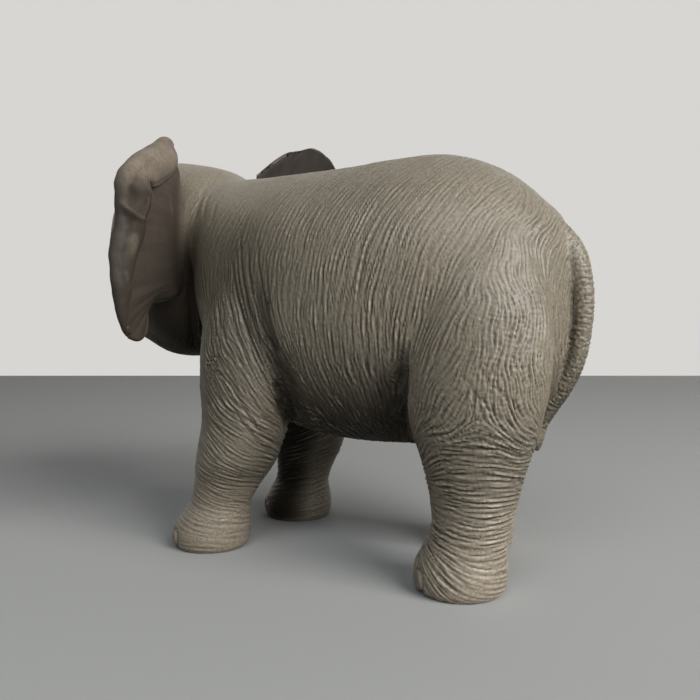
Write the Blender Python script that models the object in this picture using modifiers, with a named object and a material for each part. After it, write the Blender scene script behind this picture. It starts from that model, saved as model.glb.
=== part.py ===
"""Toy figure of an elephant calf: moulded soft vinyl pieces plugged together.

The calf faces -Y, its left side is +X, and its soles stand on z = 0. The pieces are
modelled forward from the rearmost point of the rump, and one empty then carries them
so that the origin lies under the middle of the whole figure.
"""

import math

import bmesh
import bpy
from mathutils import Matrix, Vector

COLLECTION = "elephant_calf"

# Clearance of every fit, and the edges that stay sharp in shading
FIT_GAP = 0.0003
SHARP_ANGLE = math.radians(50)

# Torso, from the rump to the neck stub that the head sheathes
TORSO_LENGTH = 0.110
TORSO_HEIGHT = 0.106
TORSO_HALF_WIDTH = 0.0285
TORSO_SEGMENTS = 28
TORSO_RINGS = 18
TORSO_SQUARENESS = 2.25
# along the body, half width, top height, bottom height
TORSO_SHARES = (
    (0.000, 0.15, 0.700, 0.560),
    (0.020, 0.44, 0.800, 0.460),
    (0.060, 0.66, 0.850, 0.380),
    (0.140, 0.84, 0.920, 0.330),
    (0.250, 0.96, 0.966, 0.295),
    (0.380, 1.00, 0.972, 0.285),
    (0.500, 1.00, 0.967, 0.284),
    (0.620, 0.96, 0.968, 0.300),
    (0.740, 0.88, 0.970, 0.340),
    (0.840, 0.80, 0.974, 0.410),
    (0.895, 0.68, 0.965, 0.490),
    (0.930, 0.52, 0.945, 0.560),
    (0.960, 0.46, 0.925, 0.600),
    (1.000, 0.45, 0.915, 0.610),
)

# Head, its back end a sheath over the torso's neck stub
NECK_HEIGHT_SHARE = 0.7575
NECK_OVERLAP = 0.0128
HEAD_LENGTH = 0.048
HEAD_DEPTH = 0.060
HEAD_HALF_WIDTH = 0.0205
HEAD_SEGMENTS = 24
HEAD_RINGS = 13
HEAD_SQUARENESS = 2.8
# along the head, half width, top and bottom above the neck's middle
HEAD_SHARES = (
    (0.00, 0.60, 0.402, -0.218),
    (0.10, 0.86, 0.450, -0.405),
    (0.25, 0.98, 0.482, -0.470),
    (0.42, 1.00, 0.505, -0.477),
    (0.60, 0.94, 0.500, -0.423),
    (0.76, 0.82, 0.445, -0.368),
    (0.89, 0.66, 0.313, -0.293),
    (1.00, 0.36, 0.118, -0.200),
)

# Lower jaw, joined to the head under the trunk
JAW_LENGTH = 0.020
JAW_HALF_WIDTH = 0.0095
JAW_HALF_HEIGHT = 0.0055
JAW_BEHIND_FACE = 0.0220
JAW_BELOW_NECK = 0.0188
JAW_RISE = 0.0030
JAW_SEGMENTS = 16
# along the jaw, width and height
JAW_SHARES = (
    (0.00, 0.90, 0.90),
    (0.35, 1.00, 1.00),
    (0.70, 0.85, 0.80),
    (0.92, 0.60, 0.50),
    (1.00, 0.30, 0.22),
)

# Trunk, a tapered tube along a raised curl, seated in the face
TRUNK_BASE_RADIUS = 0.0098
TRUNK_TIP_RADIUS = 0.0042
TRUNK_SEGMENTS = 16
TRUNK_RINGS = 16
TRUNK_SEAT_DEPTH = 0.014
TRUNK_BELOW_NECK = 0.0013
TRUNK_SWAY = 0.030
TRUNK_REACH = 0.027
TRUNK_DROP = 0.0125
# sideways sway, forward reach, drop and radius along the trunk
TRUNK_SHARES = (
    (0.00, 0.00, 0.00, 1.00),
    (0.04, 0.30, 0.28, 0.94),
    (0.20, 0.55, 0.68, 0.78),
    (0.42, 0.76, 0.98, 0.60),
    (0.66, 0.93, 0.94, 0.42),
    (0.86, 1.02, 0.50, 0.26),
    (0.97, 1.02, -0.10, 0.14),
    (1.00, 0.94, -0.66, 0.06),
    (0.97, 0.82, -1.06, 0.00),
)

# Ears, thin curved sheets whose root tabs sit in slots of the head
EAR_WIDTH = 0.036
EAR_HEIGHT = 0.068
EAR_THICKNESS = 0.0020
EAR_ROOT_TAB = 0.0030
EAR_BEFORE_NECK = 0.0090
EAR_BELOW_NECK = 0.0243
EAR_SWEEP = math.radians(19)
EAR_CUP = 0.0040
EAR_CURL_RADIUS = 0.0021
EAR_CURL_ANGLE = math.radians(150)
EAR_FLAP = 0.0115
EAR_FLAP_AIM_SHARES = (0.30, 0.36)
EAR_ROWS = 16
EAR_COLUMNS = 6
EAR_CURL_STEPS = 3
EAR_FLAP_STEPS = 2
# root height of the head's depth, edge reach, edge height and flap, from top to bottom
LEFT_EAR_SHARES = (
    (0.343, 0.08, 0.670, 0.02),
    (0.320, 0.22, 0.715, 0.26),
    (0.298, 0.36, 0.765, 0.86),
    (0.275, 0.52, 0.720, 1.00),
    (0.241, 0.68, 0.655, 0.95),
    (0.195, 0.78, 0.585, 0.85),
    (0.139, 0.84, 0.480, 0.70),
    (0.082, 0.86, 0.360, 0.50),
    (0.025, 0.85, 0.250, 0.25),
    (-0.031, 0.80, 0.140, 0.10),
    (-0.076, 0.71, 0.065, 0.02),
    (-0.110, 0.58, 0.022, 0.00),
    (-0.139, 0.45, 0.032, 0.00),
    (-0.161, 0.34, 0.055, 0.00),
    (-0.178, 0.22, 0.082, 0.00),
)
RIGHT_EAR_SHARES = (
    (0.343, 0.08, 0.760, 0.00),
    (0.320, 0.20, 0.845, 0.00),
    (0.298, 0.40, 0.910, 0.00),
    (0.275, 0.58, 0.955, 0.00),
    (0.252, 0.73, 0.968, 0.00),
    (0.218, 0.86, 0.930, 0.00),
    (0.184, 0.95, 0.850, 0.10),
    (0.139, 0.99, 0.730, 0.20),
    (0.094, 0.99, 0.580, 0.22),
    (0.048, 0.95, 0.430, 0.20),
    (-0.008, 0.87, 0.280, 0.12),
    (-0.065, 0.75, 0.130, 0.05),
    (-0.110, 0.60, 0.040, 0.00),
    (-0.144, 0.44, 0.035, 0.00),
    (-0.178, 0.22, 0.090, 0.00),
)

# Eyes, inset beads
EYE_RADIUS = 0.0022
EYE_ALONG_SHARE = 0.66
EYE_ABOVE_NECK = 0.0027
EYE_INSET = 0.0010
EYE_SEGMENTS = 12
EYE_RINGS = 8

# Legs, solid, each with the shoulder or thigh that laps the torso
LEG_TOP_SHARE = 0.849
LEG_SEGMENTS = 20
LEG_RINGS = 13
FRONT_LEG_RADIUS = 0.0112
FRONT_LEG_SPREAD = 0.0190
FRONT_LEFT_SETBACK = 0.0173
FRONT_LEFT_REACH = 0.0115
FRONT_RIGHT_SETBACK = 0.0203
FRONT_RIGHT_REACH = 0.0062
# height, outward offset, back offset, side radius and fore radius
FRONT_LEG_SHARES = (
    (0.000, 1.00, 0.00, 0.86, 0.86),
    (0.015, 1.00, 0.00, 0.92, 0.92),
    (0.055, 1.00, 0.02, 0.93, 0.94),
    (0.100, 1.00, 0.14, 0.82, 0.84),
    (0.140, 1.00, 0.28, 0.72, 0.74),
    (0.200, 0.99, 0.50, 0.78, 0.82),
    (0.270, 0.97, 0.72, 0.93, 0.98),
    (0.390, 0.94, 0.96, 1.00, 1.06),
    (0.520, 0.88, 1.00, 1.12, 1.20),
    (0.660, 0.78, 1.00, 1.16, 1.26),
    (0.800, 0.68, 1.04, 1.04, 1.14),
    (0.920, 0.60, 1.10, 0.72, 0.80),
    (1.000, 0.56, 1.14, 0.26, 0.30),
)
HIND_LEG_RADIUS = 0.0118
HIND_LEG_SPREAD = 0.0170
HIND_LEFT_INSET = 0.0207
HIND_LEFT_REACH = 0.0035
HIND_RIGHT_INSET = 0.0297
HIND_RIGHT_REACH = 0.0040
HIND_LEG_SHARES = (
    (0.000, 1.00, 0.00, 0.82, 0.82),
    (0.015, 1.00, 0.00, 0.88, 0.88),
    (0.055, 1.00, 0.05, 0.89, 0.90),
    (0.100, 1.00, 0.25, 0.81, 0.82),
    (0.150, 1.00, 0.70, 0.75, 0.75),
    (0.230, 0.99, 0.90, 0.80, 0.82),
    (0.330, 0.97, 0.90, 0.96, 1.02),
    (0.430, 0.95, 0.80, 1.10, 1.28),
    (0.550, 0.92, 0.70, 1.18, 1.46),
    (0.680, 0.86, 0.70, 1.18, 1.44),
    (0.800, 0.78, 0.80, 1.04, 1.24),
    (0.920, 0.70, 1.00, 0.72, 0.86),
    (1.000, 0.66, 1.00, 0.26, 0.32),
)

# Oval plugs that hold the legs in the torso's sockets
PLUG_HALF_DEPTH = 0.0070
PLUG_HALF_HEIGHT = 0.0090
PLUG_LENGTH = 0.015
PLUG_COVER = 0.0030
PLUG_SEGMENTS = 20
FRONT_PLUG_SHARE = 0.667
HIND_PLUG_SHARE = 0.644

# Tail, a tapered tube out of the rump and down along it
TAIL_ROOT_RADIUS = 0.0027
TAIL_TIP_RADIUS = 0.0013
TAIL_SEGMENTS = 10
TAIL_RINGS = 18
TAIL_TOP_SHARE = 0.7736
TAIL_LENGTH = 0.0515
TAIL_DEPTH = 0.0087
TAIL_SWING = 0.0114
# how far behind its end, how far below its top, and radius along the tail
TAIL_SHARES = (
    (0.05, 0.000, 1.00),
    (0.58, 0.030, 1.00),
    (0.85, 0.140, 0.96),
    (0.97, 0.300, 0.90),
    (0.94, 0.460, 0.82),
    (0.82, 0.590, 0.70),
    (0.62, 0.700, 0.50),
    (0.38, 0.790, 0.32),
    (0.16, 0.870, 0.30),
    (0.03, 0.945, 0.55),
    (0.00, 1.000, 0.10),
)

# Colour and roughness of each finish
SKIN = ((0.235, 0.205, 0.165), 0.60)
LEG_SKIN = ((0.270, 0.240, 0.190), 0.60)
EAR_SKIN = ((0.210, 0.180, 0.140), 0.60)
EYE_PAINT = ((0.030, 0.018, 0.012), 0.15)

# Places worked out from the sizes above
NECK_HEIGHT = NECK_HEIGHT_SHARE * TORSO_HEIGHT
NECK_END_Y = -TORSO_LENGTH
HEAD_BACK_Y = NECK_END_Y + NECK_OVERLAP
FACE_Y = HEAD_BACK_Y - HEAD_LENGTH
EAR_ROOT_Y = HEAD_BACK_Y - EAR_BEFORE_NECK
EAR_BOTTOM = NECK_HEIGHT - EAR_BELOW_NECK
EYE_HEIGHT = NECK_HEIGHT + EYE_ABOVE_NECK
LEG_TOP = LEG_TOP_SHARE * TORSO_HEIGHT
TAIL_TOP = TAIL_TOP_SHARE * TORSO_HEIGHT


def blend(a, b, c, d, t):
    """A smooth step from b to c, which also heeds the values before and after."""
    return b + 0.5 * t * (
        c - a + t * (2 * a - 5 * b + 4 * c - d + t * (3 * (b - c) + d - a))
    )


def resampled(rows, count):
    """The table's rows read at an even pace along a smooth curve through them."""
    found = []
    for k in range(count):
        place = k * (len(rows) - 1) / (count - 1)
        i = min(int(place), len(rows) - 2)
        before, after = rows[max(i - 1, 0)], rows[min(i + 2, len(rows) - 1)]
        found.append(
            tuple(
                blend(before[j], rows[i][j], rows[i + 1][j], after[j], place - i)
                for j in range(len(rows[i]))
            )
        )
    return found


def rounded(angle, squareness):
    """A unit point of a superellipse at the given angle."""
    c, s = math.cos(angle), math.sin(angle)
    power = 2 / squareness
    return math.copysign(abs(c) ** power, c), math.copysign(abs(s) ** power, s)


def rings_to_mesh(name, rings):
    """A closed loft through the rings, with a fan at each end."""
    bm = bmesh.new()
    loops = [[bm.verts.new(point) for point in ring] for ring in rings]
    count = len(rings[0])
    for low, high in zip(loops, loops[1:]):
        for i in range(count):
            j = (i + 1) % count
            bm.faces.new((low[i], low[j], high[j], high[i]))
    for loop in (loops[0], loops[-1]):
        pole = bm.verts.new(sum((v.co for v in loop), Vector()) / count)
        for i in range(count):
            bm.faces.new((loop[i], loop[(i + 1) % count], pole))
    bmesh.ops.recalc_face_normals(bm, faces=bm.faces)
    mesh = bpy.data.meshes.new(name)
    bm.to_mesh(mesh)
    bm.free()
    return mesh


def collection(name):
    """A new collection under the scene's own."""
    found = bpy.data.collections.new(name)
    bpy.context.scene.collection.children.link(found)
    return found


def material(name, color, roughness):
    """A Principled material of one colour."""
    made = bpy.data.materials.new(name)
    made.use_nodes = True
    shader = made.node_tree.nodes["Principled BSDF"]
    shader.inputs["Base Color"].default_value = (*color, 1)
    shader.inputs["Roughness"].default_value = roughness
    shader.inputs["Metallic"].default_value = 0
    return made


def add_object(name, mesh, home):
    """An object of the mesh in the given collection."""
    obj = bpy.data.objects.new(name, mesh)
    home.objects.link(obj)
    return obj


def grown(name, mesh, gap, home):
    """A hidden cutter: the mesh with its surface moved outward by the gap."""
    bm = bmesh.new()
    bm.from_mesh(mesh)
    bm.normal_update()
    moved = [v.co + v.normal * gap for v in bm.verts]
    for v, place in zip(bm.verts, moved):
        v.co = place
    larger = bpy.data.meshes.new(name)
    bm.to_mesh(larger)
    bm.free()
    cutter = add_object(name, larger, home)
    cutter.hide_render = True
    cutter.display_type = "WIRE"
    return cutter


def boolean(obj, other, operation):
    """Joins or cuts the object with another, exactly."""
    step = obj.modifiers.new(f"{operation.lower()} {other.name}", "BOOLEAN")
    step.operation = operation
    step.solver = "EXACT"
    step.object = other


def applied(obj):
    """The object's mesh as its modifiers leave it."""
    bpy.context.view_layer.update()
    seen = obj.evaluated_get(bpy.context.evaluated_depsgraph_get())
    return bpy.data.meshes.new_from_object(seen)


def bake(obj):
    """Applies the object's modifiers to its own mesh."""
    mesh = applied(obj)
    obj.modifiers.clear()
    obj.data = mesh


def body_rings(rows, back, length, height, half_width, segments, squareness):
    """Rings along -Y from the back point, each with its own width, top and bottom."""
    rings = []
    for along, width, top, bottom in rows:
        middle = back.z + (top + bottom) / 2 * height
        half = (top - bottom) / 2 * height
        ring = []
        for i in range(segments):
            across, up = rounded(2 * math.pi * i / segments, squareness)
            ring.append(
                Vector(
                    (
                        across * width * half_width,
                        back.y - along * length,
                        middle + up * half,
                    )
                )
            )
        rings.append(ring)
    return rings


def torso_mesh(name):
    """The torso from the rump to the end of its neck stub."""
    rows = resampled(TORSO_SHARES, TORSO_RINGS)
    rings = body_rings(
        rows,
        Vector(),
        TORSO_LENGTH,
        TORSO_HEIGHT,
        TORSO_HALF_WIDTH,
        TORSO_SEGMENTS,
        TORSO_SQUARENESS,
    )
    return rings_to_mesh(name, rings)


def head_mesh(name):
    """The skull with its cheeks."""
    rows = resampled(HEAD_SHARES, HEAD_RINGS)
    rings = body_rings(
        rows,
        Vector((0, HEAD_BACK_Y, NECK_HEIGHT)),
        HEAD_LENGTH,
        HEAD_DEPTH,
        HEAD_HALF_WIDTH,
        HEAD_SEGMENTS,
        HEAD_SQUARENESS,
    )
    return rings_to_mesh(name, rings)


def jaw_mesh(name):
    """The lower jaw, from inside the head to its lip."""
    start_y = FACE_Y + JAW_BEHIND_FACE
    start_z = NECK_HEIGHT - JAW_BELOW_NECK
    rings = []
    for along, width, height in JAW_SHARES:
        ring = []
        for i in range(JAW_SEGMENTS):
            across, up = rounded(2 * math.pi * i / JAW_SEGMENTS, HEAD_SQUARENESS)
            ring.append(
                Vector(
                    (
                        across * width * JAW_HALF_WIDTH,
                        start_y - along * JAW_LENGTH,
                        start_z + along * JAW_RISE + up * height * JAW_HALF_HEIGHT,
                    )
                )
            )
        rings.append(ring)
    return rings_to_mesh(name, rings)


def tube_mesh(name, points, radii, segments):
    """A tapered tube through the points, square to its path at each."""
    rings = []
    for k, (point, radius) in enumerate(zip(points, radii)):
        ahead = points[min(k + 1, len(points) - 1)] - points[max(k - 1, 0)]
        if not rings:
            across = ahead.orthogonal()
        across = (across - across.project(ahead)).normalized()
        up = across.cross(ahead).normalized()
        rings.append(
            [
                point
                + radius
                * (
                    across * math.cos(2 * math.pi * i / segments)
                    + up * math.sin(2 * math.pi * i / segments)
                )
                for i in range(segments)
            ]
        )
    return rings_to_mesh(name, rings)


def trunk_mesh(name):
    """The trunk: forward and down from the face, then curled up to one side."""
    base = Vector((0, FACE_Y + TRUNK_SEAT_DEPTH, NECK_HEIGHT - TRUNK_BELOW_NECK))
    rows = resampled(TRUNK_SHARES, TRUNK_RINGS)
    points = [
        base
        + Vector((-sway * TRUNK_SWAY, -reach * TRUNK_REACH, -drop * TRUNK_DROP))
        for sway, reach, drop, _ in rows
    ]
    radii = [
        TRUNK_TIP_RADIUS + max(share, 0) * (TRUNK_BASE_RADIUS - TRUNK_TIP_RADIUS)
        for *_, share in rows
    ]
    return tube_mesh(name, points, radii, TRUNK_SEGMENTS)


def tail_mesh(name):
    """The tail: out of the rump, down along it, and in behind the legs."""
    rows = resampled(TAIL_SHARES, TAIL_RINGS)
    points = [
        Vector((0, out * TAIL_SWING - TAIL_DEPTH, TAIL_TOP - down * TAIL_LENGTH))
        for out, down, _ in rows
    ]
    radii = [
        TAIL_TIP_RADIUS + max(share, 0) * (TAIL_ROOT_RADIUS - TAIL_TIP_RADIUS)
        for *_, share in rows
    ]
    return tube_mesh(name, points, radii, TAIL_SEGMENTS)


def leg_mesh(name, side, foot_y, reach, radius, spread, shares):
    """A leg from its flat sole up to the rounded top of its shoulder or thigh."""
    rings = []
    for up, outward, back, across, fore in resampled(shares, LEG_RINGS):
        centre = Vector((side * spread * outward, foot_y + back * reach, up * LEG_TOP))
        rings.append(
            [
                centre
                + Vector(
                    (
                        math.cos(2 * math.pi * i / LEG_SEGMENTS) * across * radius,
                        math.sin(2 * math.pi * i / LEG_SEGMENTS) * fore * radius,
                        0,
                    )
                )
                for i in range(LEG_SEGMENTS)
            ]
        )
    return rings_to_mesh(name, rings)


def plug_mesh(name, side, y, radius, spread, shares, height_share):
    """An oval plug from inside the leg, straight inward into the torso."""
    row = min(shares, key=lambda r: abs(r[0] - height_share))
    outer_x = row[1] * spread + row[3] * radius - PLUG_COVER
    rings = []
    for x in (outer_x, outer_x - PLUG_LENGTH):
        rings.append(
            [
                Vector(
                    (
                        side * x,
                        y + PLUG_HALF_DEPTH * math.cos(2 * math.pi * i / PLUG_SEGMENTS),
                        height_share * LEG_TOP
                        + PLUG_HALF_HEIGHT * math.sin(2 * math.pi * i / PLUG_SEGMENTS),
                    )
                )
                for i in range(PLUG_SEGMENTS)
            ]
        )
    return rings_to_mesh(name, rings)


def ear_row(root, edge, flap):
    """One row of the ear's sheet, from its tab in the head to its free edge."""
    aim_reach, aim_height = EAR_FLAP_AIM_SHARES
    aim = Vector((aim_reach * EAR_WIDTH, 0, aim_height * EAR_HEIGHT))
    outward = (edge - aim).normalized()
    backward = Vector((0, 1, 0))
    points = [root - Vector((EAR_ROOT_TAB, 0, 0))]
    for j in range(EAR_COLUMNS):
        t = j / (EAR_COLUMNS - 1)
        cup = EAR_CUP * (1 - math.cos(2 * math.pi * t)) / 2 * edge.x / EAR_WIDTH
        points.append(root.lerp(edge, t) + backward * cup)
    length = flap * EAR_FLAP
    full = EAR_CURL_ANGLE * EAR_CURL_RADIUS
    angle = min(length / full, 1) * EAR_CURL_ANGLE
    for k in range(1, EAR_CURL_STEPS + 1):
        a = angle * k / EAR_CURL_STEPS
        points.append(
            edge
            + outward * (EAR_CURL_RADIUS * math.sin(a))
            + backward * (EAR_CURL_RADIUS * (1 - math.cos(a)))
        )
    last = points[-1]
    rest = max(length - full, 0) + EAR_THICKNESS
    along = outward * math.cos(angle) + backward * math.sin(angle)
    for k in range(1, EAR_FLAP_STEPS + 1):
        points.append(last + along * rest * k / EAR_FLAP_STEPS)
    return points


def ear_tab_row(root, edge):
    """One row of the root tab, which runs on past the head's surface."""
    beyond = (edge - root).normalized() * EAR_ROOT_TAB
    return [root - Vector((EAR_ROOT_TAB, 0, 0)), root, root + beyond]


def ear_grid(side, shares, tab_only):
    """A grid of points over the ear's sheet, or over its tab, top row first."""
    station = EAR_BEFORE_NECK / HEAD_LENGTH
    turn = Matrix.Rotation(EAR_SWEEP, 3, "Z")
    grid = []
    for root_share, reach, height, flap in resampled(shares, EAR_ROWS):
        root_height = NECK_HEIGHT + root_share * HEAD_DEPTH
        root_x = head_half_width(station, root_height)
        root = Vector((root_x, 0, root_height - EAR_BOTTOM))
        edge = Vector((root_x + reach * EAR_WIDTH, 0, height * EAR_HEIGHT))
        row = ear_tab_row(root, edge) if tab_only else ear_row(root, edge, max(flap, 0))
        placed = []
        for p in row:
            x, y, _ = turn @ Vector((p.x - root.x, p.y, 0))
            placed.append(Vector((side * (root.x + x), EAR_ROOT_Y + y, EAR_BOTTOM + p.z)))
        grid.append(placed)
    return grid


def ear_mesh(name, side, shares, home, tab_only=False):
    """The ear's curved sheet, or the straight sheet of its tab, thickened."""
    bm = bmesh.new()
    grid = [[bm.verts.new(p) for p in row] for row in ear_grid(side, shares, tab_only)]
    for upper, lower in zip(grid, grid[1:]):
        for j in range(len(upper) - 1):
            bm.faces.new((upper[j], upper[j + 1], lower[j + 1], lower[j]))
    bmesh.ops.recalc_face_normals(bm, faces=bm.faces)
    mesh = bpy.data.meshes.new(name)
    bm.to_mesh(mesh)
    bm.free()
    obj = add_object(name, mesh, home)
    step = obj.modifiers.new("thickness", "SOLIDIFY")
    step.thickness = EAR_THICKNESS
    step.offset = 0
    bake(obj)
    return obj


def finish(obj, finish_look, parent):
    """Gives a piece its own material, its shading and its place in the figure."""
    bake(obj)
    color, roughness = finish_look
    obj.data.materials.clear()
    obj.data.materials.append(material(f"{obj.name} finish", color, roughness))
    obj.data.shade_smooth()
    obj.data.set_sharp_from_angle(angle=SHARP_ANGLE)
    obj.parent = parent


def head_half_width(along_share, height):
    """The head's half width at a station and a height, from its own table."""
    rows = resampled(HEAD_SHARES, HEAD_SEGMENTS * HEAD_RINGS)
    row = min(rows, key=lambda r: abs(r[0] - along_share))
    middle = NECK_HEIGHT + (row[2] + row[3]) / 2 * HEAD_DEPTH
    half = (row[2] - row[3]) / 2 * HEAD_DEPTH
    up = min(abs(height - middle) / half, 1)
    return row[1] * HEAD_HALF_WIDTH * (1 - up**HEAD_SQUARENESS) ** (1 / HEAD_SQUARENESS)


def build_leg(name, side, foot_y, reach, front, torso, torso_cutter, home, tools):
    """A leg fitted round the torso, its plug in a socket of the torso."""
    if front:
        sizes = (FRONT_LEG_RADIUS, FRONT_LEG_SPREAD, FRONT_LEG_SHARES)
        plug_share = FRONT_PLUG_SHARE
    else:
        sizes = (HIND_LEG_RADIUS, HIND_LEG_SPREAD, HIND_LEG_SHARES)
        plug_share = HIND_PLUG_SHARE
    leg = add_object(name, leg_mesh(name, side, foot_y, reach, *sizes), home)
    boolean(leg, torso_cutter, "DIFFERENCE")
    plug = plug_mesh(f"{name} plug", side, foot_y + reach, *sizes, plug_share)
    boolean(leg, grown(f"{name} plug", plug, 0, tools), "UNION")
    boolean(torso, grown(f"{name} socket", plug, FIT_GAP, tools), "DIFFERENCE")
    return leg


def build_ear(name, side, shares, head, home, tools):
    """An ear, its root tab in a slot of the head."""
    ear = ear_mesh(name, side, shares, home)
    tab = ear_mesh(f"{name} tab", side, shares, tools, tab_only=True)
    tab.hide_render = True
    tab.display_type = "WIRE"
    boolean(head, grown(f"{name} slot", tab.data, FIT_GAP, tools), "DIFFERENCE")
    return ear


def build_eye(name, side, head, home, tools):
    """An eye's bead, inset in the head."""
    place = (
        side * (head_half_width(EYE_ALONG_SHARE, EYE_HEIGHT) - EYE_INSET),
        HEAD_BACK_Y - EYE_ALONG_SHARE * HEAD_LENGTH,
        EYE_HEIGHT,
    )
    bm = bmesh.new()
    bmesh.ops.create_uvsphere(
        bm,
        u_segments=EYE_SEGMENTS,
        v_segments=EYE_RINGS,
        radius=EYE_RADIUS,
        matrix=Matrix.Translation(place),
    )
    mesh = bpy.data.meshes.new(name)
    bm.to_mesh(mesh)
    bm.free()
    boolean(head, grown(f"{name} socket", mesh, FIT_GAP, tools), "DIFFERENCE")
    return add_object(name, mesh, home)


def main():
    for obj in list(bpy.data.objects):
        bpy.data.objects.remove(obj, do_unlink=True)
    home = collection(COLLECTION)
    tools = collection("cutters")
    tools.hide_render = True

    torso = add_object("torso", torso_mesh("torso"), home)
    torso_cutter = grown("torso and gap", torso.data, FIT_GAP, tools)
    finishes = {torso: SKIN}

    front_left_y = NECK_END_Y + FRONT_LEFT_SETBACK
    front_right_y = NECK_END_Y + FRONT_RIGHT_SETBACK
    legs = (
        ("front_left_leg", 1, front_left_y, FRONT_LEFT_REACH, True),
        ("front_right_leg", -1, front_right_y, FRONT_RIGHT_REACH, True),
        ("hind_left_leg", 1, -HIND_LEFT_INSET, HIND_LEFT_REACH, False),
        ("hind_right_leg", -1, -HIND_RIGHT_INSET, HIND_RIGHT_REACH, False),
    )
    for leg_values in legs:
        leg = build_leg(*leg_values, torso, torso_cutter, home, tools)
        finishes[leg] = LEG_SKIN

    tail = add_object("tail", tail_mesh("tail"), home)
    boolean(torso, grown("tail socket", tail.data, FIT_GAP, tools), "DIFFERENCE")
    finishes[tail] = SKIN

    head = add_object("head", head_mesh("head"), home)
    boolean(head, grown("lower jaw", jaw_mesh("lower jaw"), 0, tools), "UNION")
    boolean(head, torso_cutter, "DIFFERENCE")
    trunk = add_object("trunk", trunk_mesh("trunk"), home)
    boolean(head, grown("trunk socket", trunk.data, FIT_GAP, tools), "DIFFERENCE")
    finishes[head] = SKIN
    finishes[trunk] = SKIN
    for side, name, shares in ((1, "left", LEFT_EAR_SHARES), (-1, "right", RIGHT_EAR_SHARES)):
        finishes[build_ear(f"{name}_ear", side, shares, head, home, tools)] = EAR_SKIN
        finishes[build_eye(f"{name}_eye", side, head, home, tools)] = EYE_PAINT

    figure = bpy.data.objects.new("elephant_calf_root", None)
    home.objects.link(figure)
    for obj, finish_look in finishes.items():
        finish(obj, finish_look, figure)
    corners = [v.co for obj in finishes for v in obj.data.vertices]
    low = [min(c[k] for c in corners) for k in range(3)]
    high = [max(c[k] for c in corners) for k in range(3)]
    figure.location = (-(low[0] + high[0]) / 2, -(low[1] + high[1]) / 2, -low[2])


main()
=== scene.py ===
"""The looks of a toy elephant calf: wrinkled vinyl skin, folded ears and glossy eyes.

The calf faces -Y and its left side is +X. Its skin is one surface first, fused from the
same lofts as the solids, creased and wrinkled as a whole, and then cut into the pieces of
the figure, so that no wrinkle stops at a joint.
"""

import math

import bpy
import numpy as np
from bpy.props import FloatProperty, FloatVectorProperty, IntProperty, PointerProperty
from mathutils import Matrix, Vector
from mathutils.bvhtree import BVHTree


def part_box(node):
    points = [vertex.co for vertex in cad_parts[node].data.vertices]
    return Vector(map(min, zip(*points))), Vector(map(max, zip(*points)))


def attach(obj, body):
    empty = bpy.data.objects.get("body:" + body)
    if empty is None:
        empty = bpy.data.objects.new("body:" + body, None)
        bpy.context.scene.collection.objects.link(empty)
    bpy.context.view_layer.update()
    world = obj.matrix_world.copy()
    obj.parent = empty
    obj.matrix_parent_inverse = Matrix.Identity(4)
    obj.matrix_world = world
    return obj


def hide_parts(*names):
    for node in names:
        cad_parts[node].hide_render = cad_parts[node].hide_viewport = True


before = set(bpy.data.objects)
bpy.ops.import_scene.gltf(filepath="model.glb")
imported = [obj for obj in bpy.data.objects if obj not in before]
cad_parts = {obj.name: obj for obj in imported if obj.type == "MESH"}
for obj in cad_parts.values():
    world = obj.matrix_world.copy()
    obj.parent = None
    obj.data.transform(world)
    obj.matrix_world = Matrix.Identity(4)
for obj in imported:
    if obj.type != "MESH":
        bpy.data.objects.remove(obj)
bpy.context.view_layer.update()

bl_info = {
    "name": "Elephant calf figure",
    "version": (1, 0, 0),
    "blender": (4, 5, 0),
    "location": "3D View > Sidebar > Calf",
    "description": "Wrinkled skin, ears, eyes and stage of a toy elephant calf",
    "category": "Object",
}

MM = 0.001

# Places taken from the solids
TORSO_LOW, TORSO_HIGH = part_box("torso")
HEAD_LOW, HEAD_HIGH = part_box("head")
MIDDLE_X = (TORSO_LOW.x + TORSO_HIGH.x) / 2
RUMP_Y = TORSO_HIGH.y
TORSO_LENGTH = TORSO_HIGH.y - TORSO_LOW.y
TORSO_HALF_WIDTH = (TORSO_HIGH.x - TORSO_LOW.x) / 2
TORSO_CREST_SHARE = 0.974
TORSO_HEIGHT = TORSO_HIGH.z / TORSO_CREST_SHARE
HEAD_LENGTH = HEAD_HIGH.y - HEAD_LOW.y
HEAD_HALF_WIDTH = (HEAD_HIGH.x - HEAD_LOW.x) / 2
HEAD_CROWN_SHARE = 0.505
HEAD_CHIN_SHARE = 0.477
HEAD_DEPTH = (HEAD_HIGH.z - HEAD_LOW.z) / (HEAD_CROWN_SHARE + HEAD_CHIN_SHARE)
NECK_HEIGHT = HEAD_HIGH.z - HEAD_CROWN_SHARE * HEAD_DEPTH
HEAD_BACK_Y = HEAD_HIGH.y
FACE_Y = HEAD_LOW.y
LEG_TOP_SHARE = 0.849
LEG_TOP = LEG_TOP_SHARE * TORSO_HEIGHT

# The lofts, as shares of the sizes above
TORSO_SQUARENESS = 2.25
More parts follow.
